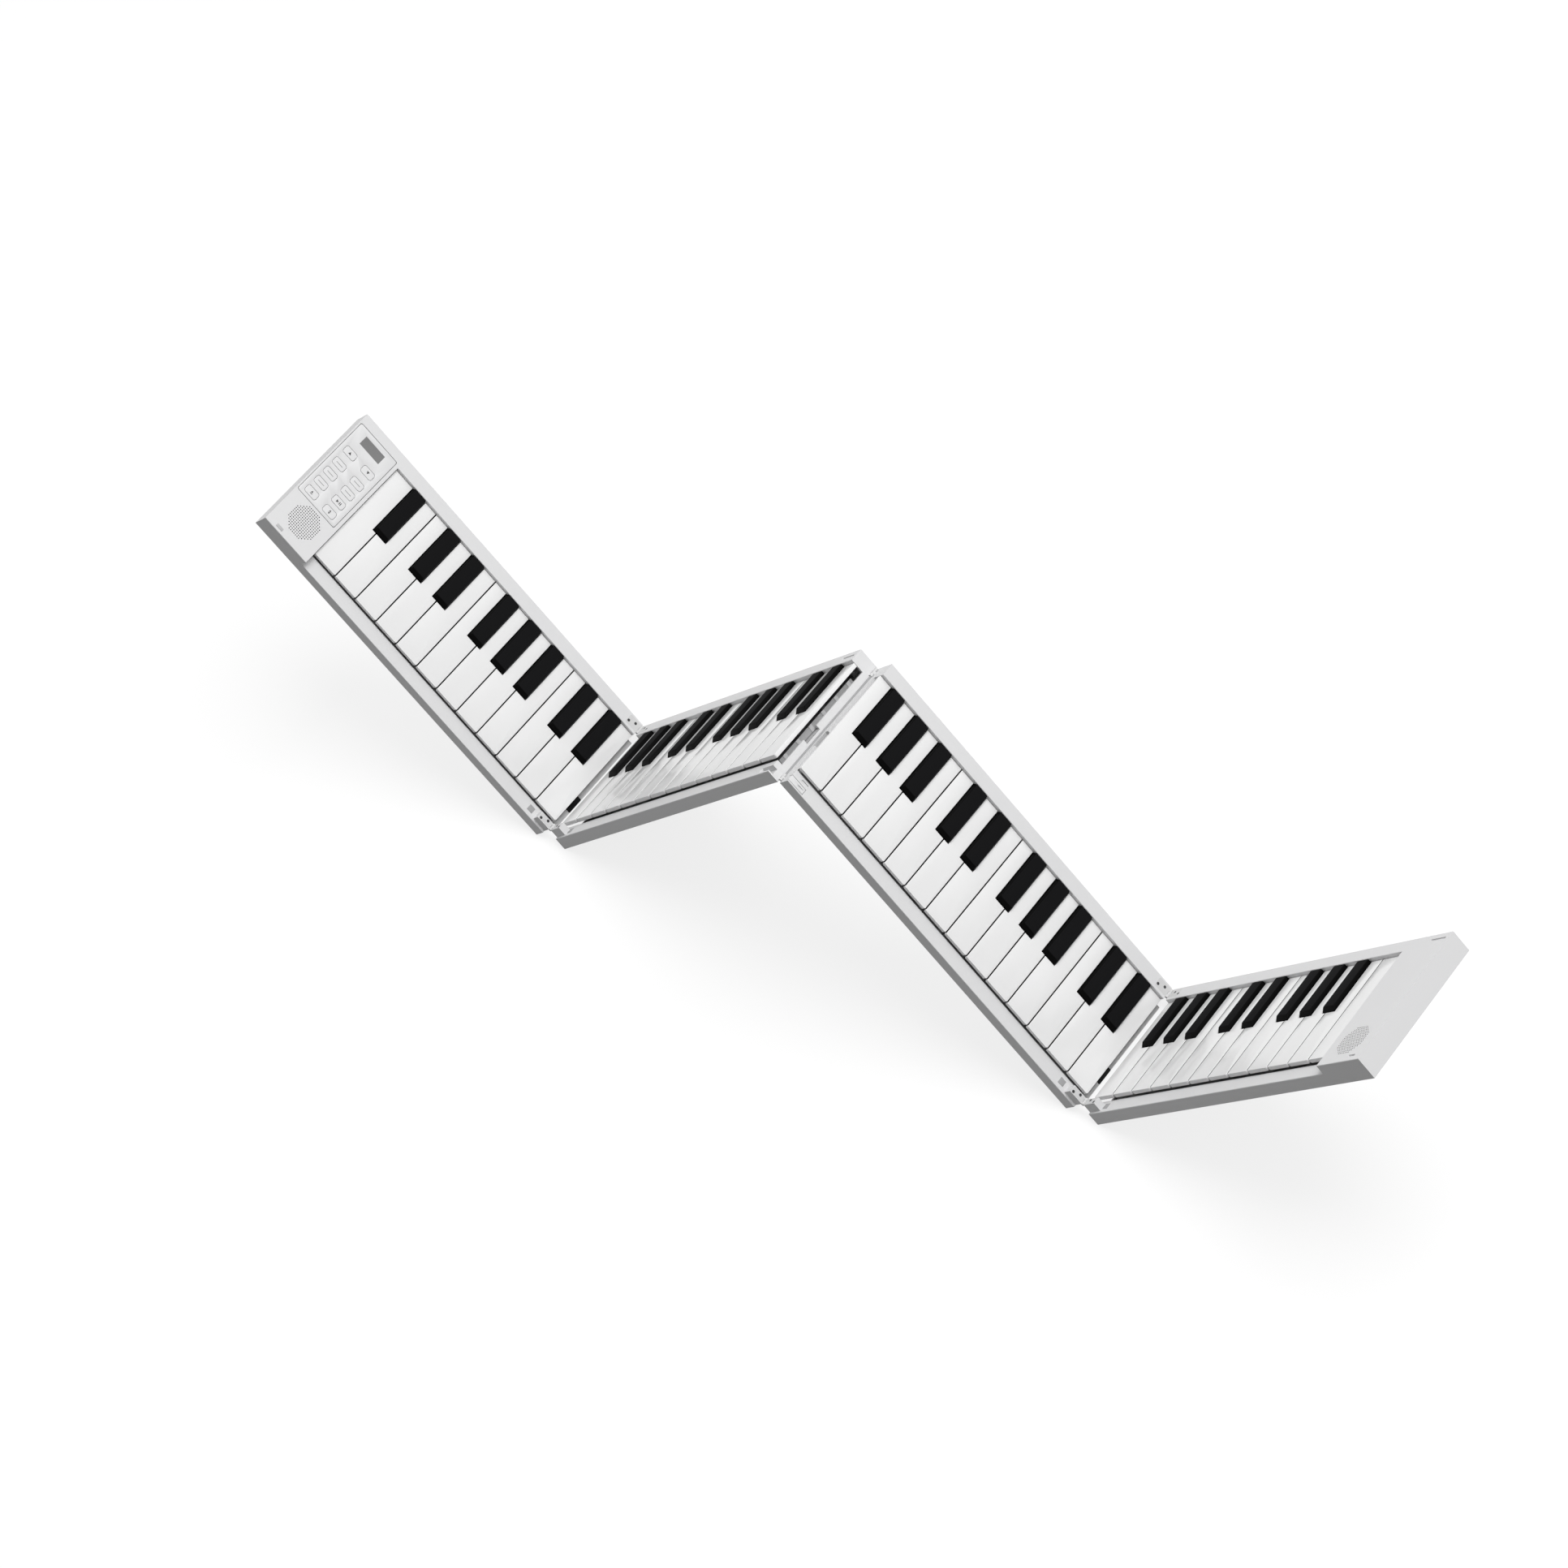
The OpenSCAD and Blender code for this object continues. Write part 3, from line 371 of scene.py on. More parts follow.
key_white = moulded_plastic("key_white", (0.82, 0.82, 0.82), 0.16, 0.003, 0.00001, mottle=0.01, shine=0.45)
key_side = moulded_plastic("key_side", (0.03, 0.03, 0.03), 0.6, 0.001, 0.00001, shine=0.1)
white_forms = {}
for n in panels:
    place = panel_place(n)
    start = first_key(n)
    parts = []
    for k in range(whites[n]):
        u0 = end_gap if k == 0 else key_gap / 2
        u1 = key_pitch - (end_gap if k == whites[n] - 1 else key_gap / 2)
        half = black_width / 2 + black_gap
        left = half + side_step(n, k) if has_black(n, k) else None
        right = key_pitch - half + side_step(n, k + 1) if has_black(n, k + 1) else None
        shape = (u0, u1, left, right)
        if shape not in white_forms:
            white_forms[shape] = white_key_form(*shape)
        move = place @ Matrix.Translation((start + k * key_pitch, y_key, 0))
        parts.append(copy_to(white_forms[shape], f"white_key_{n}_{k}", move))
    keys = joined(f"white_key_set_{n}", parts)
    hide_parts(f"white_keys_{n}")
    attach(keys, f"white_keys_{n}")
drop(*white_forms.values())

# ---- Black keys ----
# Thirty-six keys moulded in black plastic with a soft sheen. Each narrows towards its top, and its front
# slopes back. They stand a little to the side of the gaps, as on any piano, so that the tails are even.
black_top = 17.8 * mm
black_taper = 0.8 * mm
black_slope = 2.9 * mm
black_waist = 15.2 * mm
black_edge = 0.55 * mm

black = start_box(
    "black_key",
    (-black_width / 2, key_length - black_length, key_under),
    (black_width / 2, key_length - key_back_gap, black_top),
)
cut_at(black, (0, 0, black_waist), (0, 0, 1))
for side in (-1, 1):
    pick(black, "VERT", lambda c: close_to(c.z, black_top) and c.x * side > 0)
    bpy.ops.transform.translate(value=(-side * black_taper, 0, 0))
pick(black, "VERT", lambda c: close_to(c.z, black_top) and c.y < key_length - black_length / 2)
bpy.ops.transform.translate(value=(0, black_slope, 0))
round_edges(black, black_edge, 4, angle=12)

top_black = moulded_plastic(
    "key_black", (0.0095, 0.0095, 0.01), 0.6, 0.0008, 0.00003, mottle=0.12, shine=0.01
)
# The sides and the front slope take a far darker black than the top: painted shade, with a glossier finish.
shaded_side_black = moulded_plastic(
    "key_black_shaded_side", (0.002, 0.002, 0.002), 0.35, 0.0008, 0.00002, mottle=0.1, shine=0.03
)
black.data.materials.append(top_black)
black.data.materials.append(shaded_side_black)
for face in black.data.polygons:
    face.material_index = 0 if face.normal.z > level else 1
for n in panels:
    place = panel_place(n)
    start = first_key(n)
    parts = []
    for k in range(1, whites[n]):
        if has_black(n, k):
            move = place @ Matrix.Translation((start + k * key_pitch + side_step(n, k), y_key, 0))
            parts.append(copy_to(black, f"black_key_{n}_{k}", move))
    keys = joined(f"black_key_set_{n}", parts)
    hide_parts(f"black_keys_{n}")
    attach(keys, f"black_keys_{n}")
drop(black)

# ---- Contact boards and ribbon cables ----
# Under the keys lies a printed board covered by a pale grey rubber strip with domes. Flat cables join board
# to board over the folds. Thin films close the slots: a white one at each inward fold, and a grey one that is
# glued to both panels over the outward fold.
strip_grey = moulded_plastic("strip_grey", (0.34, 0.34, 0.345), 0.7, 0.0008, 0.00004, mottle=0.08)
dress([f"contact_board_{n}" for n in panels], strip_grey)
ribbon_thick = 0.3 * mm
ribbon_width = 15 * mm
valley_ribbon_front = y_key + 17 * mm
ridge_ribbon_front = y_key + 26 * mm
tongue_ribbon = (288 * mm, 327.6 * mm, valley_ribbon_front, 7.3 * mm)
far_ribbon = (0.5 * mm, 34 * mm, valley_ribbon_front, 3.4 * mm)
ribbon_spots = {
    1: [tongue_ribbon],
    2: [far_ribbon, (312 * mm, 321.5 * mm, ridge_ribbon_front, 2.4 * mm)],
    3: [tongue_ribbon, (0.5 * mm, 10 * mm, ridge_ribbon_front, 2.4 * mm)],
    4: [far_ribbon],
}
thin_edge = 0.08 * mm


def rounded_plate(name, low, high, corner, steps=5):
    """A plate with its four upright corners rounded."""
    piece = start_box(name, low, high)
    middle = (low[2] + high[2]) / 2
    pick(piece, "EDGE", lambda c: close_to(c.z, middle))
    bpy.ops.mesh.bevel(offset=corner, segments=steps, affect="EDGES")
    bpy.ops.object.mode_set(mode="OBJECT")
    return piece


def put(piece, place, material, body, *stands_for):
    """Puts a finished piece in its place, gives it its finish and says what carries it."""
    piece.data.transform(place)
    if material:
        piece.data.materials.clear()
        piece.data.materials.append(material)
    if stands_for:
        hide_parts(*stands_for)
    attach(piece, body)


def striped(name, colour, between, pitch):
    """Flat cable: conductors side by side show as fine ridges under the skin."""
    material, tree, shader = node_material(name)
    shader.inputs["Roughness"].default_value = 0.4
    shader.inputs["Specular IOR Level"].default_value = 0.25
    place = add_node(tree, "ShaderNodeTexCoord")
    ridges = add_node(tree, "ShaderNodeTexWave", bands_direction="Y", Scale=math.pi / 10 / pitch)
    tone = add_node(tree, "ShaderNodeMix", data_type="RGBA")
    tone.inputs[6].default_value = [*between, 1]
    tone.inputs[7].default_value = [*colour, 1]
    bump = add_node(tree, "ShaderNodeBump", Strength=0.5, Distance=0.00006)
    tree.links.new(place.outputs["Object"], ridges.inputs["Vector"])
    tree.links.new(ridges.outputs["Fac"], tone.inputs[0])
    tree.links.new(tone.outputs[2], shader.inputs["Base Color"])
    tree.links.new(ridges.outputs["Fac"], bump.inputs["Height"])
    tree.links.new(bump.outputs[0], shader.inputs["Normal"])
    return material


ribbon_black = striped("ribbon_black", (0.012, 0.012, 0.012), (0.004, 0.004, 0.004), 1.25 * mm)
ribbon_pale = striped("ribbon_pale", (0.5, 0.5, 0.505), (0.38, 0.38, 0.385), 1.25 * mm)
for n in panels:
    for i, (u0, u1, front, low) in enumerate(ribbon_spots[n]):
        cable = rounded_plate(
            f"ribbon_{n}_{i}", (u0, front, low), (u1, front + ribbon_width, low + ribbon_thick), 0.8 * mm
        )
        round_edges(cable, thin_edge, 2)
        put(cable, panel_place(n), ribbon_pale if i else ribbon_black, f"panel_{n}", f"flex_ribbon_{n}")

film_white = moulded_plastic("film_white", (0.86, 0.86, 0.86), 0.35, 0.001, 0.00001, mottle=0.02)
film_ends = (
    (y_key + 1.3 * mm, valley_ribbon_front - 0.4 * mm),
    (valley_ribbon_front + 15.4 * mm, 48.4 * mm),
)
film_left = 321.65 * mm
film_right = 327.4 * mm
film_under = 7.3 * mm
film_wall = 0.45 * mm
film_top = 7.55 * mm
film_rise = 3.9 * mm
for n in (1, 3):
    parts = []
    for start, end in film_ends:
        film = start_box(f"film_{n}", (film_left, start, film_under), (film_right, end, film_top))
        cut_at(film, (film_left + film_wall, 0, 0), (1, 0, 0))
        pick(film, "FACE", lambda c: close_to(c.z, film_top) and c.x < film_left + film_wall)
        bpy.ops.mesh.extrude_region_move(TRANSFORM_OT_translate={"value": (0, 0, film_rise)})
        round_edges(film, thin_edge, 2)
        parts.append(film)
    put(joined(f"fold_film_{n}", parts), panel_place(n), film_white, f"panel_{n}")

ridge_gap = 0.8 * mm
ridge_axis = Vector((module_len + ridge_gap / 2, 0, -0.35 * mm))
ridge_lap = 1.6 * mm
ridge_cuts = 8
cover = start_box(
    "ridge_film",
    (module_len - ridge_lap, -53.1 * mm, -0.12 * mm),
    (module_len + ridge_gap + ridge_lap, 51.6 * mm, -0.02 * mm),
)
for step in range(ridge_cuts + 1):
    cut_at(cover, (module_len + ridge_gap * step / ridge_cuts, 0, 0), (1, 0, 0))
bend = panel_place(2).inverted() @ panel_place(3) @ Matrix.Translation((-module_len - ridge_gap, 0, 0))
whole_turn = bend.to_quaternion().angle
for vertex in cover.data.vertices:
    share = min(1, max(0, (vertex.co.x - module_len) / ridge_gap))
    turn = Matrix.Rotation(share * whole_turn, 4, "Y")
    vertex.co = ridge_axis + turn @ (vertex.co - ridge_axis)
cover.data.transform(panel_place(2))
cover.data.materials.append(strip_grey)
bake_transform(cover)

# ---- Rest strips ----
# Inside each panel's end at the outward fold a grey rubber strip stands under the last key, where a key
# pressed too far comes to rest. Six pale clips moulded with the base plate hold it.
rest_top = 8.1 * mm
rest_spots = {2: (315.2 * mm, 316.2 * mm, 316.7 * mm), 3: (6.8 * mm, 5.8 * mm, 5.3 * mm)}
rest_y = (-46 * mm, 42 * mm)
rest_under = 1.6 * mm
notch_play = 0.6 * mm
notch_top = 3 * mm
clips = 6
clip_start = -40
clip_step = 15.5
clip_half = 1.7 * mm
clip_under = 3.2 * mm
clip_proud = 0.1 * mm


def cut_out(piece, *tools):
    """Cuts the tools' shapes out of the piece and throws the tools away."""
    for tool in tools:
        bpy.ops.object.select_all(action="DESELECT")
        piece.select_set(True)
        bpy.context.view_layer.objects.active = piece
        bpy.ops.object.modifier_add(type="BOOLEAN")
        cut = piece.modifiers[-1]
        cut.operation = "DIFFERENCE"
        cut.solver = "EXACT"
        cut.object = tool
        bpy.ops.object.modifier_apply(modifier=cut.name)
    drop(*tools)


for n, (back, face, clip_face) in rest_spots.items():
    near, far = min(back, face), max(back, face)
    strip = start_box(f"rest_strip_{n}", (near, rest_y[0], rest_under), (far, rest_y[1], rest_top))
    notch = start_box(
        "ribbon_notch",
        (near - mm, ridge_ribbon_front - notch_play, 0),
        (far + mm, ridge_ribbon_front + ribbon_width + notch_play, notch_top),
    )
    cut_out(strip, notch)
    round_edges(strip, 0.25 * mm, 3)
    strip.data.materials.clear()
    strip.data.materials.append(strip_grey)
    parts = [strip]
    for i in range(clips):
        middle = (clip_start + clip_step * i) * mm
        clip = rounded_plate(
            f"clip_{n}_{i}",
            (min(face, clip_face), middle - clip_half, clip_under),
            (max(face, clip_face), middle + clip_half, rest_top + clip_proud),
            0.2 * mm,
            steps=2,
        )
        clip.data.materials.append(base_white)
        parts.append(clip)
    put(joined(f"rest_strip_{n}", parts), panel_place(n), None, f"panel_{n}")

# ---- Screws ----
# Steel screws with cross recesses hold the base plates and the hinge leaves, nickel-plated on the plates and
# dark on the leaves.
# Their heads lie in round recesses, flush with the face around them.
screw_steel = moulded_plastic("screw_steel", (0.35, 0.35, 0.36), 0.35, 0.0004, 0.00002)
screw_steel.node_tree.nodes["Principled BSDF"].inputs["Metallic"].default_value = 1.0
screw_dark = moulded_plastic("screw_dark", (0.06, 0.06, 0.062), 0.4, 0.0004, 0.00002, shine=0.2)
rear_hinge_y = 55.85 * mm
front_hinge_y = -56.35 * mm
panel_high = 18 * mm
end_screw_in = 7 * mm
fold_screw_in = 24 * mm
base_screw_rows = (-56.25 * mm, 57.45 * mm)
base_screw_deep = 0.1 * mm
leaf_screw_spots = ((5.4 * mm, 1.2 * mm), (11.3 * mm, -1.2 * mm))


def pin(name, radius, low, high, sides=32):
    """An upright round bar on the z axis, from one height to the other."""
    bpy.ops.object.select_all(action="DESELECT")
    bpy.ops.mesh.primitive_cylinder_add(
        vertices=sides, radius=radius, depth=high - low, location=(0, 0, (low + high) / 2)
    )
    piece = bpy.context.object
    piece.name = name
    bpy.ops.object.transform_apply(location=True, rotation=True, scale=True)
    return piece


def screw_form(name, head, thick, shank, length):
    """A screw that points up, the face of its head at height 0 with a cross recess in it."""
    top = pin(f"{name}_head", head, 0, thick, sides=28)
    round_edges(top, 0.12 * mm, 2)
    arm, width, deep = head * 0.62, head * 0.14, thick * 0.6
    cut_out(
        top,
        start_box("recess_along", (-arm, -width, -thick), (arm, width, deep)),
        start_box("recess_across", (-width, -arm, -thick), (width, arm, deep)),
    )
    stem = pin(f"{name}_shank", shank, thick - 0.01 * mm, length, sides=16)
    pick(stem, "FACE", lambda c: close_to(c.z, length))
    bpy.ops.mesh.inset(thickness=shank * 0.45)
    bpy.ops.transform.translate(value=(0, 0, shank * 0.5))
    bpy.ops.object.mode_set(mode="OBJECT")
    return joined(name, [top, stem], screw_steel)


base_screw = screw_form("base_screw", 1.7 * mm, 0.9 * mm, 1 * mm, 5.9 * mm)
leaf_screw = screw_form("leaf_screw", 1.2 * mm, 0.4 * mm, 0.6 * mm, 1.8 * mm)
leaf_screw.data.materials[0] = screw_dark
turn_over = Matrix.Rotation(math.pi, 4, "X")
for n in panels:
    place = panel_place(n)
    left = end_screw_in if n == 1 else fold_screw_in
    right = module_len - (end_screw_in if n == 4 else fold_screw_in)
    parts = []
    for i, u in enumerate((left, module_len / 2, right)):
        for j, y in enumerate(base_screw_rows):
            turn = Matrix.Rotation(0.4 + 1.1 * (i + 3 * j + n), 4, "Z")
            move = place @ Matrix.Translation((u, y, base_screw_deep)) @ turn
            parts.append(copy_to(base_screw, f"base_screw_{n}_{i}_{j}", move))
    ends = [(module_len if n % 2 else 0, -1 if n % 2 else 1, panel_high, turn_over)]
    if n in (2, 3):
        ends.append((module_len if n == 2 else 0, -1 if n == 2 else 1, 0, Matrix.Identity(4)))
    for end, inward, face, way in ends:
        for i, (reach, aside) in enumerate(leaf_screw_spots):
            for j, y in enumerate((front_hinge_y, rear_hinge_y)):
                spot = Matrix.Translation((end + inward * reach, y + aside, face))
                turn = Matrix.Rotation(0.3 + 0.9 * (i + 2 * j + n), 4, "Z")
                parts.append(copy_to(leaf_screw, f"leaf_screw_{n}_{i}_{j}", place @ spot @ way @ turn))
    screws = joined(f"screw_set_{n}", parts)
    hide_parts(f"screws_{n}")
    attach(screws, f"panel_{n}")
drop(base_screw, leaf_screw)

# ---- Feet and stops ----
# Round grey rubber feet under the panels and small square stops on the lips, pushed into their recesses.
# The rubber is dull, with a fine powdery grain, and a moulded ring runs round each foot.
foot_rubber = moulded_plastic("foot_rubber", (0.3, 0.3, 0.305), 0.8, 0.0004, 0.00005)
stop_rubber = moulded_plastic("stop_rubber", (0.36, 0.36, 0.365), 0.7, 0.0004, 0.00004)
stop_in = {1: 19.8 * mm, 0: 17.4 * mm}
stop_half = {1: 2.7 * mm, 0: 2.9 * mm}
stop_y = y_key - 6.5 * mm
stop_deep = 2.5 * mm
lip_top = 10.6 * mm
foot_radius = 5 * mm
foot_proud = 0.3 * mm
foot_sunk = 0.8 * mm
foot_rim = 1.1 * mm
ring_wide = 0.5 * mm
ring_deep = 0.2 * mm
foot_in = 40 * mm
foot_side = 39.25 * mm

foot = pin("foot", foot_radius, -foot_proud, foot_sunk, sides=48)
pick(foot, "FACE", lambda c: close_to(c.z, -foot_proud))
bpy.ops.mesh.inset(thickness=foot_rim)
for rise in (ring_deep, -ring_deep):
    bpy.ops.mesh.inset(thickness=ring_wide)
    bpy.ops.transform.translate(value=(0, 0, rise))
round_edges(foot, 0.09 * mm, 2)
foot.data.materials.append(foot_rubber)
for n in panels:
    place = panel_place(n)
    parts = []
    for i, u in enumerate((foot_in, module_len - foot_in)):
        for j, y in enumerate((-foot_side, foot_side)):
            parts.append(copy_to(foot, f"foot_{n}_{i}_{j}", place @ Matrix.Translation((u, y, 0))))
    odd = n % 2
    middle = module_len - stop_in[odd] if odd else stop_in[odd]
    stop = rounded_plate(
        f"stop_{n}",
        (middle - stop_half[odd], stop_y - stop_deep, lip_top - 0.8 * mm),
        (middle + stop_half[odd], stop_y + stop_deep, lip_top + 0.2 * mm),
        0.5 * mm,
    )
    round_edges(stop, 0.12 * mm, 2)
    stop.data.transform(place)
    stop.data.materials.append(stop_rubber)
    pads = joined(f"foot_set_{n}", [*parts, stop])
    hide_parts(f"foot_pads_{n}")
    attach(pads, f"panel_{n}")
drop(foot)

# ---- Hinges ----
# Two small leaf hinges of white-coated steel carry each fold, on pins of plain steel.
# The coating is smooth and slightly glossy over the stamped plate.
leaf_white = moulded_plastic("leaf_white", (0.62, 0.62, 0.62), 0.35, 0.0006, 0.00003)
dress([f"hinge_leaves_{n}" for n in panels], leaf_white)
dress(["hinge_pins_12", "hinge_pins_23", "hinge_pins_34"], screw_steel)

# ---- Control block ----
# A printed film lies let into the left block, framed by a thin black ring, which is painted shade for the
# wall of its pocket. There is a small smoked display window and ten buttons. These are moulded caps on stems
# over the switches, each with a plain sign. A small pad of the base plate's plastic sits at the block's
# front, and the green board lies inside.
overlay_white = moulded_plastic("overlay_white", (0.72, 0.72, 0.725), 0.3, 0.001, 0.00001)
display_grey = moulded_plastic("display_grey", (0.2, 0.2, 0.2), 0.2, 0.002, 0.00001, mottle=0.05, shine=0.3)
button_white = moulded_plastic("button_white", (0.73, 0.73, 0.735), 0.4, 0.0005, 0.00003)
print_and_shade_black = moulded_plastic("print_and_shade_black", (0.03, 0.03, 0.03), 0.5, 0.0005, 0.00001)
sign_grey = moulded_plastic("sign_grey", (0.3, 0.3, 0.3), 0.5, 0.0005, 0.00001)
button_half = (5.75 * mm, 3.25 * mm)
button_space = 0.3 * mm
button_low = 16.4 * mm
cap_rise = 0.1 * mm
button_columns = (12 * mm, 31.8 * mm)
first_row = -18.25 * mm
row_step = 11 * mm
last_step = 2 * mm
film_trim = 0.4 * mm
film_low = 17.6 * mm
film_start = (1.8 * mm, -24.85 * mm)
film_end = (42.6 * mm, 52.55 * mm)
film_corner = 1.5 * mm
display_low = (11.8 * mm, 39.3 * mm, 17 * mm)
display_high = (32.8 * mm, 47.8 * mm, 18 * mm)


def button_spot(i):
    """The middle of button i on the block, in two columns of five from the front."""
    row = i % 5
    return Vector((button_columns[i // 5], first_row + row * row_step + (last_step if row == 4 else 0), 0))


def button_plate(name, grow, low, high):
    """A button's outline as a plate, grown by its play."""
    half_u, half_y = button_half[0] + grow, button_half[1] + grow
    return rounded_plate(name, (-half_u, -half_y, low), (half_u, half_y, high), 1.8 * mm + grow, steps=6)


film = rounded_plate(
    "control_film",
    (film_start[0] + film_trim, film_start[1] + film_trim, film_low),
    (film_end[0] - film_trim, film_end[1] - film_trim, panel_high),
    film_corner,
)
tools = []
for i in range(10):
    tool = button_plate(f"button_hole_{i}", button_space, film_low - mm, panel_high + mm)
    tool.data.transform(Matrix.Translation(button_spot(i)))
    tools.append(tool)
tools.append(
    start_box(
        "display_hole",
        (display_low[0], display_low[1], film_low - mm),
        (display_high[0], display_high[1], panel_high + mm),
    )
)
cut_out(film, *tools)
round_edges(film, thin_edge, 2, angle=50)
put(film, panel_place(1), overlay_white, "panel_1", "control_overlay")

# A thin black ring round the film: painted shade for the bare wall of the pocket between film and case.
shade_ring_in = 0.02 * mm
shade_ring_thick = 0.25 * mm
shade_ring = rounded_plate(
    "film_shade_ring",
    (film_start[0] + shade_ring_in, film_start[1] + shade_ring_in, film_low),
    (film_end[0] - shade_ring_in, film_end[1] - shade_ring_in, film_low + shade_ring_thick),
    film_corner,
)
cut_out(
    shade_ring,
    rounded_plate(
        "shade_ring_hole",
        (film_start[0] + film_trim, film_start[1] + film_trim, film_low - mm),
        (film_end[0] - film_trim, film_end[1] - film_trim, panel_high + mm),
        film_corner - film_trim,
    ),
)
round_edges(shade_ring, 0.04 * mm, 1, angle=60)
put(shade_ring, panel_place(1), print_and_shade_black, "panel_1")

window = start_box("display_window", display_low, display_high)
pick(window, "FACE", lambda c: close_to(c.z, display_high[2]))
bpy.ops.mesh.inset(thickness=0.9 * mm)
bpy.ops.transform.translate(value=(0, 0, -0.12 * mm))
round_edges(window, 0.1 * mm, 2)
put(window, panel_place(1), display_grey, "panel_1", "display_lens")

cap = button_plate("button_cap", 0, button_low, panel_high)
pick(cap, "FACE", lambda c: close_to(c.z, panel_high))
bpy.ops.mesh.inset(thickness=0.35 * mm)
bpy.ops.transform.translate(value=(0, 0, cap_rise))
round_edges(cap, 0.1 * mm, 2, angle=12)
button_face = panel_high + cap_rise
stem = pin("button_stem", 1.6 * mm, 13 * mm, button_low + 0.01 * mm, sides=24)
round_edges(stem, 0.2 * mm, 2)
button = joined("button", [cap, stem], button_white)


def sign_plate(outline, material):
    """A flat printed sign, a hair above the button's face, from its outline."""
    bpy.ops.object.select_all(action="DESELECT")
    bpy.ops.mesh.primitive_circle_add(vertices=len(outline), radius=mm, fill_type="NGON")
    sign = bpy.context.object
    for vertex, (x, y) in zip(sign.data.vertices, outline):
        vertex.co = (x * mm, y * mm, button_face)
    bpy.ops.object.mode_set(mode="EDIT")
    bpy.ops.mesh.select_all(action="SELECT")
    bpy.ops.mesh.extrude_region_move(TRANSFORM_OT_translate={"value": (0, 0, 0.03 * mm)})
    bpy.ops.mesh.select_all(action="SELECT")
    bpy.ops.mesh.normals_make_consistent(inside=False)
    bpy.ops.object.mode_set(mode="OBJECT")
    sign.data.materials.append(material)
    return sign


def triangle(x, y, size, way):
    """A triangle whose point shows up, down or right."""
    corners = ((-0.5, -0.45), (0.5, -0.45), (0, 0.45))
    if way == "down":
        corners = [(-a, -b) for a, b in corners]
    if way == "right":
        corners = [(b, -a) for a, b in corners]
    return [(x + a * size, y + b * size) for a, b in corners]


def bar(x, y, width, depth):
    """A bar round its middle."""
    half, deep = width / 2, depth / 2
    return [(x - half, y - deep), (x + half, y - deep), (x + half, y + deep), (x - half, y + deep)]


signs = {
    0: [(triangle(0, 0.6, 2.0, "up"), print_and_shade_black), (bar(0, -1.2, 2.4, 0.5), print_and_shade_black)],
    4: [(triangle(0, 0, 2.6, "up"), print_and_shade_black)],
    5: [(triangle(0, 1.1, 1.8, "up"), print_and_shade_black), (triangle(0, -1.1, 1.8, "down"), print_and_shade_black)],
    6: [
        (triangle(-1.2, 0, 2.5, "right"), print_and_shade_black),
        (bar(0.8, 0, 0.6, 2.4), print_and_shade_black),
        (bar(2.0, 0, 0.6, 2.4), print_and_shade_black),
    ],
    9: [(triangle(0, 0, 2.6, "down"), print_and_shade_black)],
}
plain_sign = [(bar(0, 0, 6.4, 0.55), sign_grey)]
for i in range(10):
    move = panel_place(1) @ Matrix.Translation(button_spot(i))
    parts = [copy_to(button, f"button_cap_{i + 1:02d}", Matrix.Identity(4))]
    parts += [sign_plate(outline, ink) for outline, ink in signs.get(i, plain_sign)]
    piece = joined(f"button_piece_{i + 1:02d}", parts)
    put(piece, move, None, f"button_{i + 1:02d}", f"button_{i + 1:02d}")
drop(button)

catch = rounded_plate(
    "catch_pad",
    (10 * mm, -58.9 * mm, panel_high - 0.05 * mm),
    (16.5 * mm, -56.4 * mm, 18.3 * mm),
    0.5 * mm,
)
round_edges(catch, 0.12 * mm, 2)
put(catch, panel_place(1), base_white, "panel_1")

dress(["main_board"], moulded_plastic("board_green", (0.02, 0.05, 0.035), 0.4, 0.001, 0.00002, mottle=0.1))

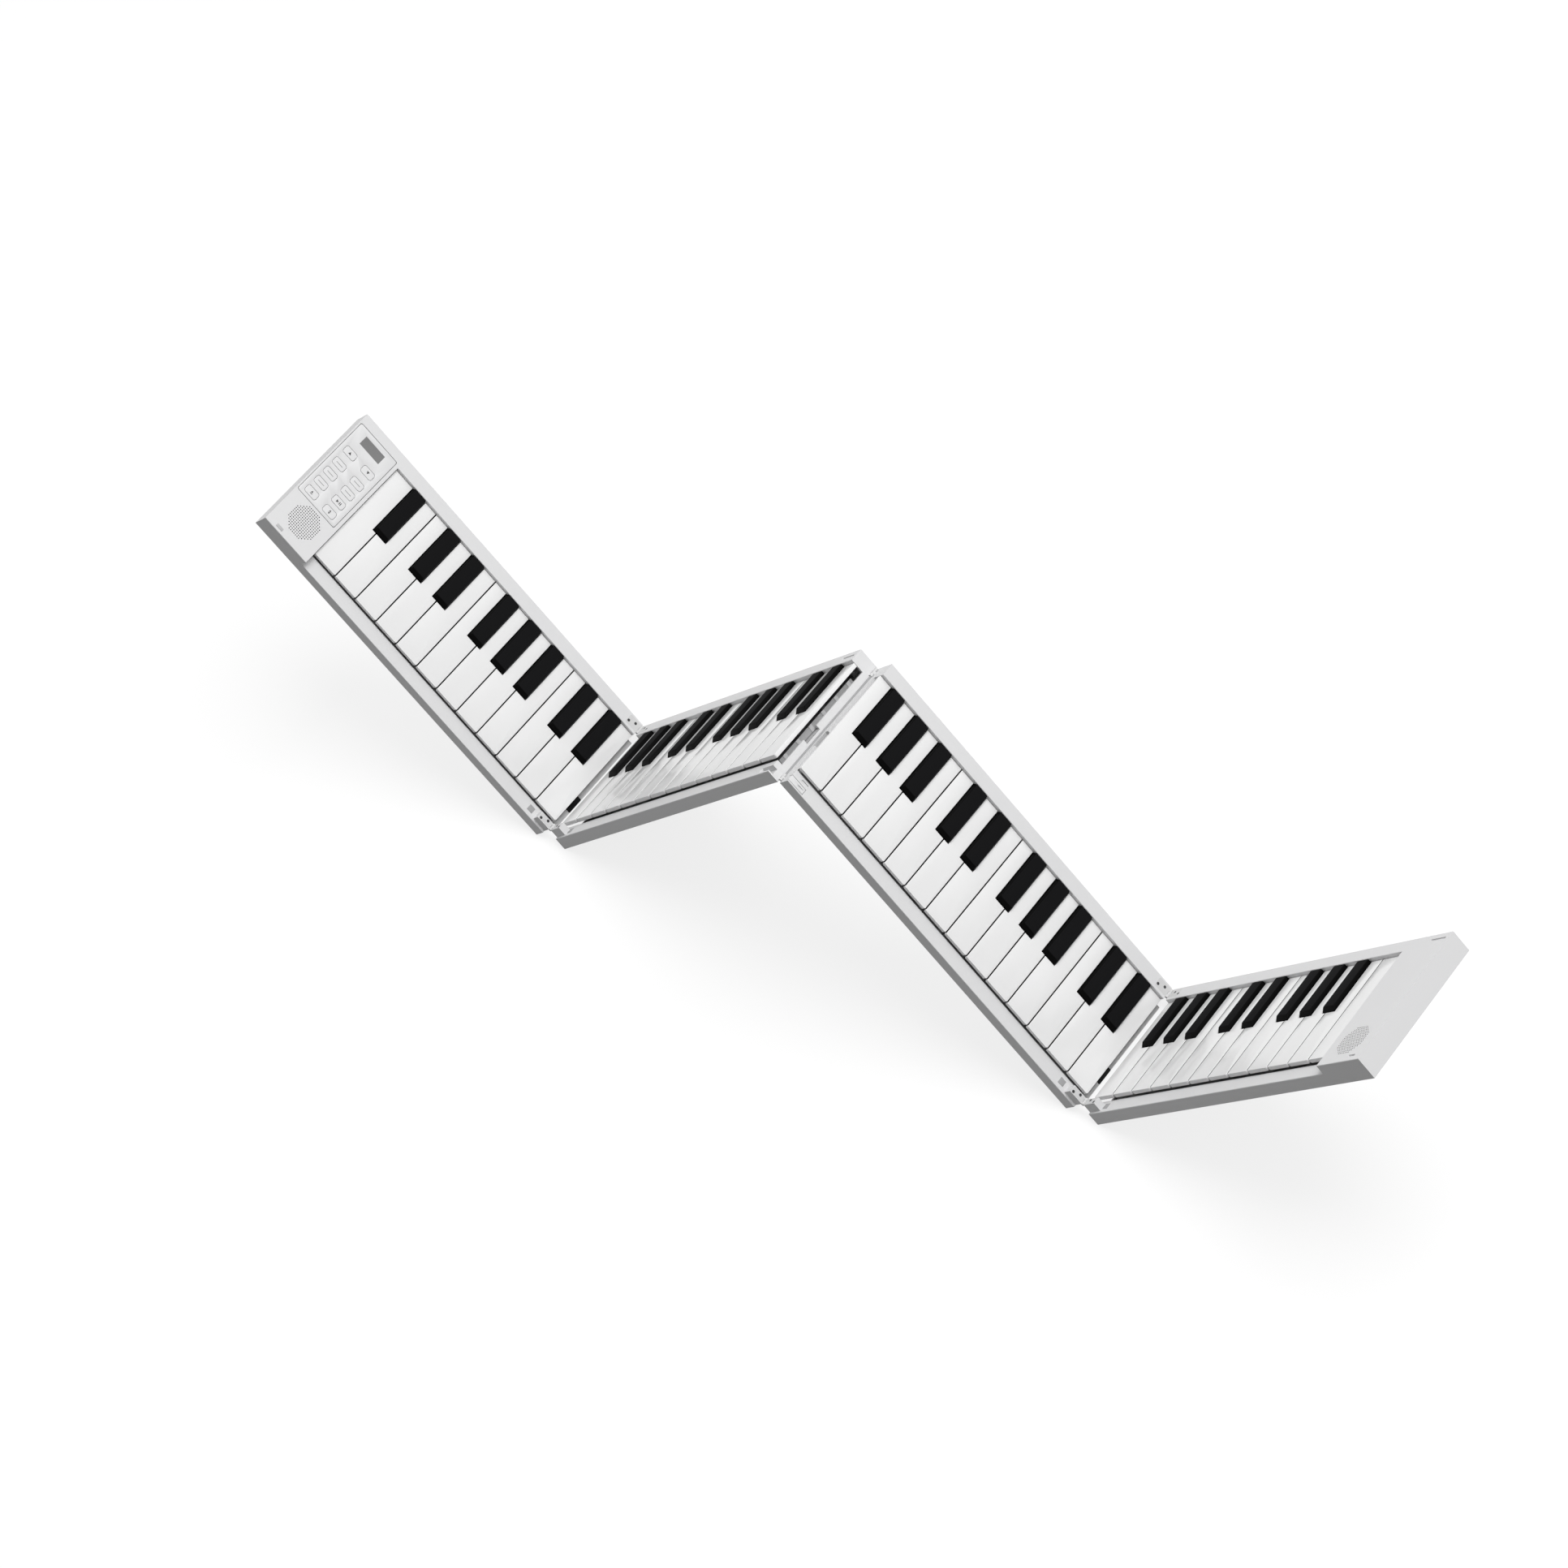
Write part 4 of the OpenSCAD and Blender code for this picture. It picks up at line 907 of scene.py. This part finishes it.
# ---- Sound ----
# Behind each round field of fine holes in the blocks sits a small loudspeaker with a black paper cone.
# The grilles are discs of the case's plastic, let into the blocks. The walls of their holes are given the
# cone's black here, a stand-in for the shade in them, so that the fine field reads as dark dots.
speaker_black = moulded_plastic("speaker_black", (0.03, 0.03, 0.03), 0.7, 0.0005, 0.00003)
dress(["speaker_left", "speaker_right"], speaker_black)
dress(["grille_left", "grille_right"], case_white)
for name in ("grille_left", "grille_right"):
    mesh = nodes[name].data
    mesh.materials.append(speaker_black)
    flat = max(mesh.polygons, key=lambda face: face.area).normal.copy()
    for face in mesh.polygons:
        face.material_index = 0 if abs(face.normal.dot(flat)) > level else 1

# ---- Lock over the outward fold ----
# A flat moulded slide lies in the lip of the third panel and bridges the fold when the object lies open.
# Its edges are rounded, and a groove for the fingertip runs along its upper face.
groove_deep = 0.9 * mm
slide = rounded_plate(
    "lock_slide", (0.5 * mm, -59.8 * mm, 6.6 * mm), (15.2 * mm, -55.3 * mm, lip_top), 0.5 * mm
)
groove = rounded_plate(
    "groove",
    (8.6 * mm, -58.2 * mm, lip_top - groove_deep),
    (14.2 * mm, -56.8 * mm, lip_top + mm),
    0.6 * mm,
)
cut_out(slide, groove)
round_edges(slide, 0.1 * mm, 2)
put(slide, panel_place(3), case_white, "lock_slider", "lock_slider")

# ---- Power ----
# A flat battery in blue shrink wrap lies in the right block. A small push button and a steel charging
# socket sit in the back of the left block.
battery_blue = moulded_plastic("battery_blue", (0.1, 0.15, 0.25), 0.35, 0.0005, 0.00003)
dress(["battery_pack"], battery_blue)
dress(["usb_socket"], screw_steel)
power_deep = 4 * mm
power_spot = (14 * mm, 61.25 * mm - power_deep, 8 * mm)
power_half = (4 * mm, 1.7 * mm)
power = rounded_plate(
    "power_cap", (-power_half[0], -power_half[1], 0), (*power_half, power_deep), 1.6 * mm, steps=8
)
pick(power, "FACE", lambda c: close_to(c.z, power_deep))
bpy.ops.mesh.inset(thickness=0.5 * mm)
bpy.ops.transform.translate(value=(0, 0, -0.15 * mm))
round_edges(power, 0.12 * mm, 2)
face_back = Matrix.Translation(power_spot) @ Matrix.Rotation(-math.pi / 2, 4, "X")
put(power, panel_place(1) @ face_back, button_white, "power_button", "power_button")
